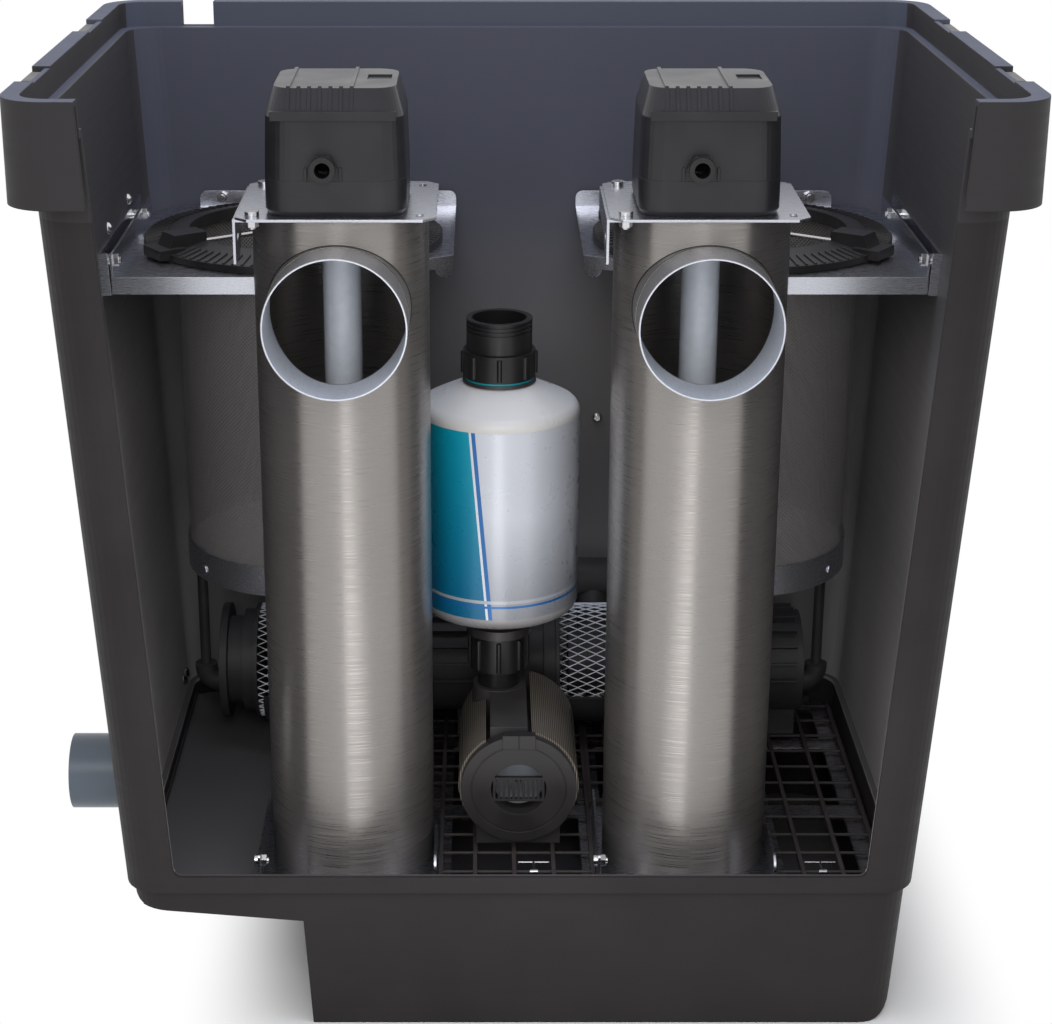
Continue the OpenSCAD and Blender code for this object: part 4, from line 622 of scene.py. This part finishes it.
media_grain = moulded_plastic("filter_granules", "#a0937e", 0.8, 3.0, 1.5, 0.5)
rotor_nylon = moulded_plastic("grey_impeller_nylon", "#80858b", 0.4, 1.0, 0.04, 0.5)
lamp_glass = moulded_plastic("white_lamp_glass", "#eef1f6", 0.15, 3.0, 0.01, 0.4, vary=0.02)
plated = brushed_steel("zinc_plated_steel", "#d6d5d8", 0.22, EVEN, position, 1.2)
wire_steel = brushed_steel("drawn_steel_wire", "#c5c3c5", 0.25, EVEN, position, 1.0)
ribbed_steel = ribbed_sheet()
quartz_glass = quartz()
print("materials so far", [material.name for material in bpy.data.materials])

finish = {
    "tank": tub_black, "rim_clips": ring_abs, "wall_bolts": plated, "outlet_pipe": grey_pvc,
    "outlet_seal": seal_epdm, "support_frame": sheet_steel, "centre_grate": grate_coat,
    "right_grate": grate_coat, "centre_grate_pull": wire_steel, "right_grate_pull": wire_steel,
    "uv_screws": plated, "wall_brackets": sheet_steel, "shelf_bolts": plated,
    "canister_body": bottle_pe, "canister_media": media_grain, "canister_union_nut": fitting_pp,
    "canister_spigot": fitting_pp, "canister_gasket": gasket_silicone, "neck_rings": ring_pvc,
    "lower_union_nut": fitting_pp, "pump_riser": fitting_pp, "pump_body": pump_pp,
    "pump_intake_disc": disc_pp, "pump_strainer_shells": ribbed_steel,
    "pump_rotor": rotor_nylon, "discharge_pipes": pump_pp, "uv_lamps": lamp_glass,
    "shelf_flanges": sheet_steel,
}
each_side = {
    "uv_foot": sheet_steel, "uv_plate": sheet_steel, "uv_bracket": sheet_steel,
    "shelf": sheet_steel, "basket_band": sheet_steel, "uv_head_base": head_abs,
    "uv_head_cover": head_abs, "uv_gland": fitting_pp, "uv_sleeve": quartz_glass,
    "lid_ring": ring_abs, "bail": wire_steel, "rear_pump": pump_pp, "rear_rotor": rotor_nylon,
}
for hand, x in (("left", -TUBE_X), ("right", TUBE_X)):
    finish[hand + "_uv_tube"] = tube_steel(hand + "_tube_brushed_steel", x)
    for part, material in each_side.items():
        finish[hand + "_" + part] = material


# %% [markdown]
# ## Mesh baskets
# The baskets are rolled from fine woven steel mesh with diamond holes about 3 mm across
# and wires nearly 1 mm thick. Thousands of holes would make a very heavy model, so the
# sheet stays whole and its material lets light through where the holes are. Two sets of
# slanted lines cross, and only where both are away from a wire is there a hole. On the
# wall the lines follow the arc and the height, and on the floor they follow X and Y. The
# collar at the basket's top stays whole.

# %% Woven mesh material
BASKET_X = mm(283)
BASKET_Y = mm(143)
BASKET_RADIUS = mm(147)
MESH_PITCH = mm(5.2)
WIRE_SHARE = 0.125
FLOOR_EDGE = mm(3.0)
COLLAR_STEP = mm(1.0)


def woven_mesh(name, centre):
    material, tree, shader = new_material(name)
    arc, height, away = round_axis(tree, centre, BASKET_RADIUS)
    split = add(tree, "SeparateXYZ", {0: position(tree)})
    on_floor = add(tree, "Math", (away, BASKET_RADIUS - FLOOR_EDGE), operation="LESS_THAN")
    first = add(tree, "Mix", {0: on_floor, 2: arc, 3: split.outputs["X"]}, data_type="FLOAT")
    second = add(tree, "Mix", {0: on_floor, 2: height, 3: split.outputs["Y"]}, data_type="FLOAT")
    wires = []
    for sign in (1.0, -1.0):
        climb = add(tree, "Math", (second, sign), operation="MULTIPLY")
        slant = add(tree, "Math", (first, climb), operation="ADD")
        pitches = add(tree, "Math", (slant, MESH_PITCH), operation="DIVIDE")
        wave = add(tree, "Math", (pitches, 0.5), operation="PINGPONG")
        wires.append(add(tree, "Math", (wave, WIRE_SHARE), operation="LESS_THAN"))
    wire = add(tree, "Math", (wires[0], wires[1]), operation="MAXIMUM")
    collar = add(tree, "Math", (away, BASKET_RADIUS + COLLAR_STEP), operation="GREATER_THAN")
    grain = speckle(tree, position(tree), mm(1.5))
    wall_wire = lay_colour(tree, grain, linear("#8d8986"), linear("#c0bcb9"))
    # Painted light: the basket floor's wire is painted lighter than the wall's, as if lit from
    # above.
    floor_wire_painted_light = lay_colour(tree, grain, linear("#a8a19b"), linear("#d2cac4"))
    connect(tree, lay_colour(tree, on_floor, wall_wire, floor_wire_painted_light), shader, "Base Color")
    connect(tree, spread(tree, grain, 0.38, 0.5), shader, "Roughness")
    whole = add(tree, "Math", (wire, collar), operation="MAXIMUM")
    connect(tree, whole, shader, "Alpha")
    shader.inputs["Metallic"].default_value = 0.6
    return material


for hand, x in (("left", -BASKET_X), ("right", BASKET_X)):
    mesh_steel = woven_mesh(hand + "_woven_steel_mesh", (x, BASKET_Y, 0.0))
    finish[hand + "_basket_mesh"] = mesh_steel

for name, material in finish.items():
    nodes[name].data.materials.clear()
    nodes[name].data.materials.append(material)
print("finished nodes", len(finish), "of", len(nodes))


# %% [markdown]
# ## Expanded metal strainers
# The circulation pumps draw water through sleeves of expanded metal: sheet that was
# slit and stretched until the slits opened to diamonds about 25 mm long and 12 mm high.
# A lattice of diamond faces is laid round the pump, and the Wireframe modifier keeps
# only their edges as flat struts. These sleeves replace the closed CAD sleeves.

# %% Expanded metal
HALF_DIAMOND_LENGTH = mm(12.5)
HALF_DIAMOND_HEIGHT = mm(5.8)
STRUT = mm(2.4)
SLEEVE_INSET = mm(1.4)


def mesh_object(name, points, faces, material):
    mesh = bpy.data.meshes.new(name)
    mesh.from_pydata(points, [], faces)
    mesh.validate()
    mesh.materials.append(material)
    piece = bpy.data.objects.new(name, mesh)
    scene.collection.objects.link(piece)
    return piece


expanded_steel = brushed_steel(
    "expanded_stainless_steel", "#f0f2f6", 0.30, EVEN, position, grain=1.4, metallic=0.1
)


def expanded_sleeve(hand):
    low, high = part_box(hand + "_rear_strainer")
    length = high[0] - low[0]
    centre_y, centre_z = (low[1] + high[1]) / 2, (low[2] + high[2]) / 2
    radius = (high[2] - low[2]) / 2 - SLEEVE_INSET
    columns = round(length / HALF_DIAMOND_LENGTH)
    rows = 2 * round(math.pi * radius / HALF_DIAMOND_HEIGHT)

    def corner(i, j):
        return i * rows + j % rows

    points, faces = [], []
    for i in range(columns + 1):
        x = low[0] + length * i / columns
        for j in range(rows):
            angle = 2 * math.pi * j / rows
            y, z = centre_y + radius * math.sin(angle), centre_z + radius * math.cos(angle)
            points.append((x, y, z))
    for i in range(columns - 1):
        for j in range(rows):
            if (i + j) % 2 == 0:
                diamond = ((i, j), (i + 1, j + 1), (i + 2, j), (i + 1, j - 1))
                faces.append([corner(*place) for place in diamond])
    sleeve = mesh_object(hand + "_expanded_sleeve", points, faces, expanded_steel)
    struts = sleeve.modifiers.new("struts", "WIREFRAME")
    struts.thickness = STRUT
    struts.use_even_offset = False
    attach(sleeve, "chamber")
    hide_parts(hand + "_rear_strainer")
    print(sleeve.name, "diamonds", len(faces))


for hand in ("left", "right"):
    expanded_sleeve(hand)


# %% [markdown]
# ## Lid ring fins
# Each lid ring carries a crown of thin radial fins on its sloping outer half. They are
# small blocks that follow the slope, narrower at the top, made in one mesh per ring, and
# left out where the grips stand.

# %% Fins
FIN_COUNT = 96
FIN_INNER, FIN_OUTER = mm(157), mm(186)
SLOPE_OUTER_RADIUS, SLOPE_OUTER_Z = mm(185), mm(873.6)
SLOPE_INNER_RADIUS, SLOPE_INNER_Z = mm(134), mm(882.6)
FIN_SUNK = mm(1.0)
FIN_HEIGHT_INNER, FIN_HEIGHT_OUTER = mm(3.6), mm(3.0)
FIN_HALF_FOOT, FIN_HALF_TOP = mm(1.7), mm(1.1)
GRIP_ANGLES = {"left": (35, 215), "right": (145, 325)}
GRIP_REACH = math.radians(9)


def near_grip(angle, grips):
    turns = [(angle - grip + math.pi) % (2 * math.pi) - math.pi for grip in grips]
    return min(abs(turn) for turn in turns) < GRIP_REACH


def ring_fins(hand, basket_x):
    grade = (SLOPE_INNER_Z - SLOPE_OUTER_Z) / (SLOPE_OUTER_RADIUS - SLOPE_INNER_RADIUS)
    centre = Vector((basket_x, BASKET_Y, 0))
    grips = [math.radians(angle) for angle in GRIP_ANGLES[hand]]
    points, faces = [], []
    for i in range(FIN_COUNT):
        angle = 2 * math.pi * i / FIN_COUNT
        if near_grip(angle, grips):
            continue
        out = Vector((math.cos(angle), math.sin(angle), 0))
        across = Vector((-math.sin(angle), math.cos(angle), 0))
        a = [len(points) + k for k in range(8)]
        for r, fin_height in ((FIN_INNER, FIN_HEIGHT_INNER), (FIN_OUTER, FIN_HEIGHT_OUTER)):
            base = SLOPE_OUTER_Z + grade * (SLOPE_OUTER_RADIUS - r) - FIN_SUNK
            for half_width, z in ((FIN_HALF_FOOT, base), (FIN_HALF_TOP, base + fin_height)):
                for sign in (-1, 1):
                    p = centre + out * r + across * sign * half_width
                    points.append((p.x, p.y, z))
        faces += [
            (a[0], a[1], a[3], a[2]), (a[4], a[6], a[7], a[5]), (a[2], a[3], a[7], a[6]),
            (a[0], a[2], a[6], a[4]), (a[1], a[5], a[7], a[3]), (a[0], a[4], a[5], a[1]),
        ]
    fins = mesh_object(hand + "_lid_fins", points, faces, ring_abs)
    soft = fins.modifiers.new("soft_edges", "BEVEL")
    soft.width = mm(0.3)
    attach(fins, hand + "_lid")
    print(fins.name, "faces", len(faces))


ring_fins("left", -BASKET_X)
ring_fins("right", BASKET_X)


# %% [markdown]
# ## Canister label
# The bottle wears a wrap of printed polyester. Here it is generic: a teal field with a
# slanted blue edge and two thin stripes below, on a silver-grey ground, with no words.
# Towards the bottle's foot the ground is painted darker, a painted shade. It is a thin
# curved patch 0.2 mm off the bottle, and its colours come from the arc length and the
# height on the bottle.

# %% Label
BOTTLE_CENTRE = (mm(-24), mm(-15))
BOTTLE_RADIUS = mm(99)
LABEL_RADIUS = mm(99.2)
LABEL_LOW, LABEL_HIGH = mm(449), mm(688)
LABEL_HALF_TURN = 160
TEAL_HEIGHTS = (mm(447), mm(690))
LABEL_SHADE_HEIGHTS = (mm(449), mm(580))
SLANT = mm(22)
STRIPES = ((mm(470), mm(474), "#9fa2a8"), (mm(464), mm(467), "#1a5d9b"))


def ramp(tree, value, heights):
    sockets = {"Value": value, "From Min": heights[0], "From Max": heights[1]}
    return add(tree, "MapRange", sockets)


def printed_film():
    material, tree, shader = new_material("printed_polyester_film")
    arc, height, away = round_axis(tree, (*BOTTLE_CENTRE, 0.0), BOTTLE_RADIUS)
    silver = spread(tree, speckle(tree, position(tree), mm(60)), 0, 1)
    silver = lay_colour(tree, silver, linear("#b3b6bd"), linear("#b5b8bf"))
    # Painted shade: the silver ground darkens towards the bottle's foot.
    label_foot_shade = ramp(tree, height, LABEL_SHADE_HEIGHTS)
    colour = lay_colour(tree, label_foot_shade, linear("#7d7f86"), silver)
    tone = ramp(tree, height, TEAL_HEIGHTS)
    teal = lay_colour(tree, tone, linear("#0a5f86"), linear("#0690a8"))

    half_round = math.pi * BOTTLE_RADIUS
    is_left = add(tree, "Math", (arc, 0.0), operation="LESS_THAN")
    turn = add(tree, "Math", (is_left, 2 * half_round), operation="MULTIPLY")
    turn = add(tree, "Math", (turn, half_round), operation="SUBTRACT")
    leftwards = add(tree, "Math", (arc, turn), operation="ADD")
    slant = add(tree, "Math", (tone, SLANT), operation="MULTIPLY")
    across = add(tree, "Math", (leftwards, slant), operation="SUBTRACT")
    layers = ((mm(8), linear("#1a5d9b")), (mm(13), linear("#c9ccd1")), (mm(16), teal))
    for edge, paint in layers:
        past_edge = add(tree, "Math", (across, edge), operation="GREATER_THAN")
        colour = lay_colour(tree, past_edge, colour, paint)
    for low, high, paint in STRIPES:
        over_low = add(tree, "Math", (height, low), operation="GREATER_THAN")
        under_high = add(tree, "Math", (height, high), operation="LESS_THAN")
        band = both(tree, over_low, under_high)
        colour = lay_colour(tree, band, colour, linear(paint))
    connect(tree, colour, shader, "Base Color")
    gloss = spread(tree, speckle(tree, position(tree), mm(20)), 0.27, 0.29)
    connect(tree, gloss, shader, "Roughness")
    shader.inputs["Metallic"].default_value = 0.2
    shader.inputs["Coat Weight"].default_value = 0.2
    return material


def label_patch():
    steps, rows = 96, 8
    points, faces = [], []
    for i in range(steps + 1):
        angle = math.radians(-90 + LABEL_HALF_TURN * (2 * i / steps - 1))
        x = BOTTLE_CENTRE[0] + LABEL_RADIUS * math.cos(angle)
        y = BOTTLE_CENTRE[1] + LABEL_RADIUS * math.sin(angle)
        for k in range(rows + 1):
            points.append((x, y, LABEL_LOW + (LABEL_HIGH - LABEL_LOW) * k / rows))
    for i in range(steps):
        for k in range(rows):
            a = i * (rows + 1) + k
            faces.append((a, a + rows + 1, a + rows + 2, a + 1))
    label = mesh_object("canister_label", points, faces, printed_film())
    for face in label.data.polygons:
        face.use_smooth = True
    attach(label, "chamber")
    print("label", len(faces), "faces")


label_patch()


# %% [markdown]
# ## Smooth shading
# Round CAD faces are smooth, and real corners stay sharp: Blender's smooth-by-angle
# setting does that for each node.

# %% Shading of the CAD nodes
SHARP_FROM = math.radians(28)
for name, node in nodes.items():
    chosen = {"object": node, "active_object": node}
    chosen.update(selected_objects=[node], selected_editable_objects=[node])
    with bpy.context.temp_override(**chosen):
        bpy.ops.object.shade_smooth_by_angle(angle=SHARP_FROM)
print("smoothed", len(nodes))
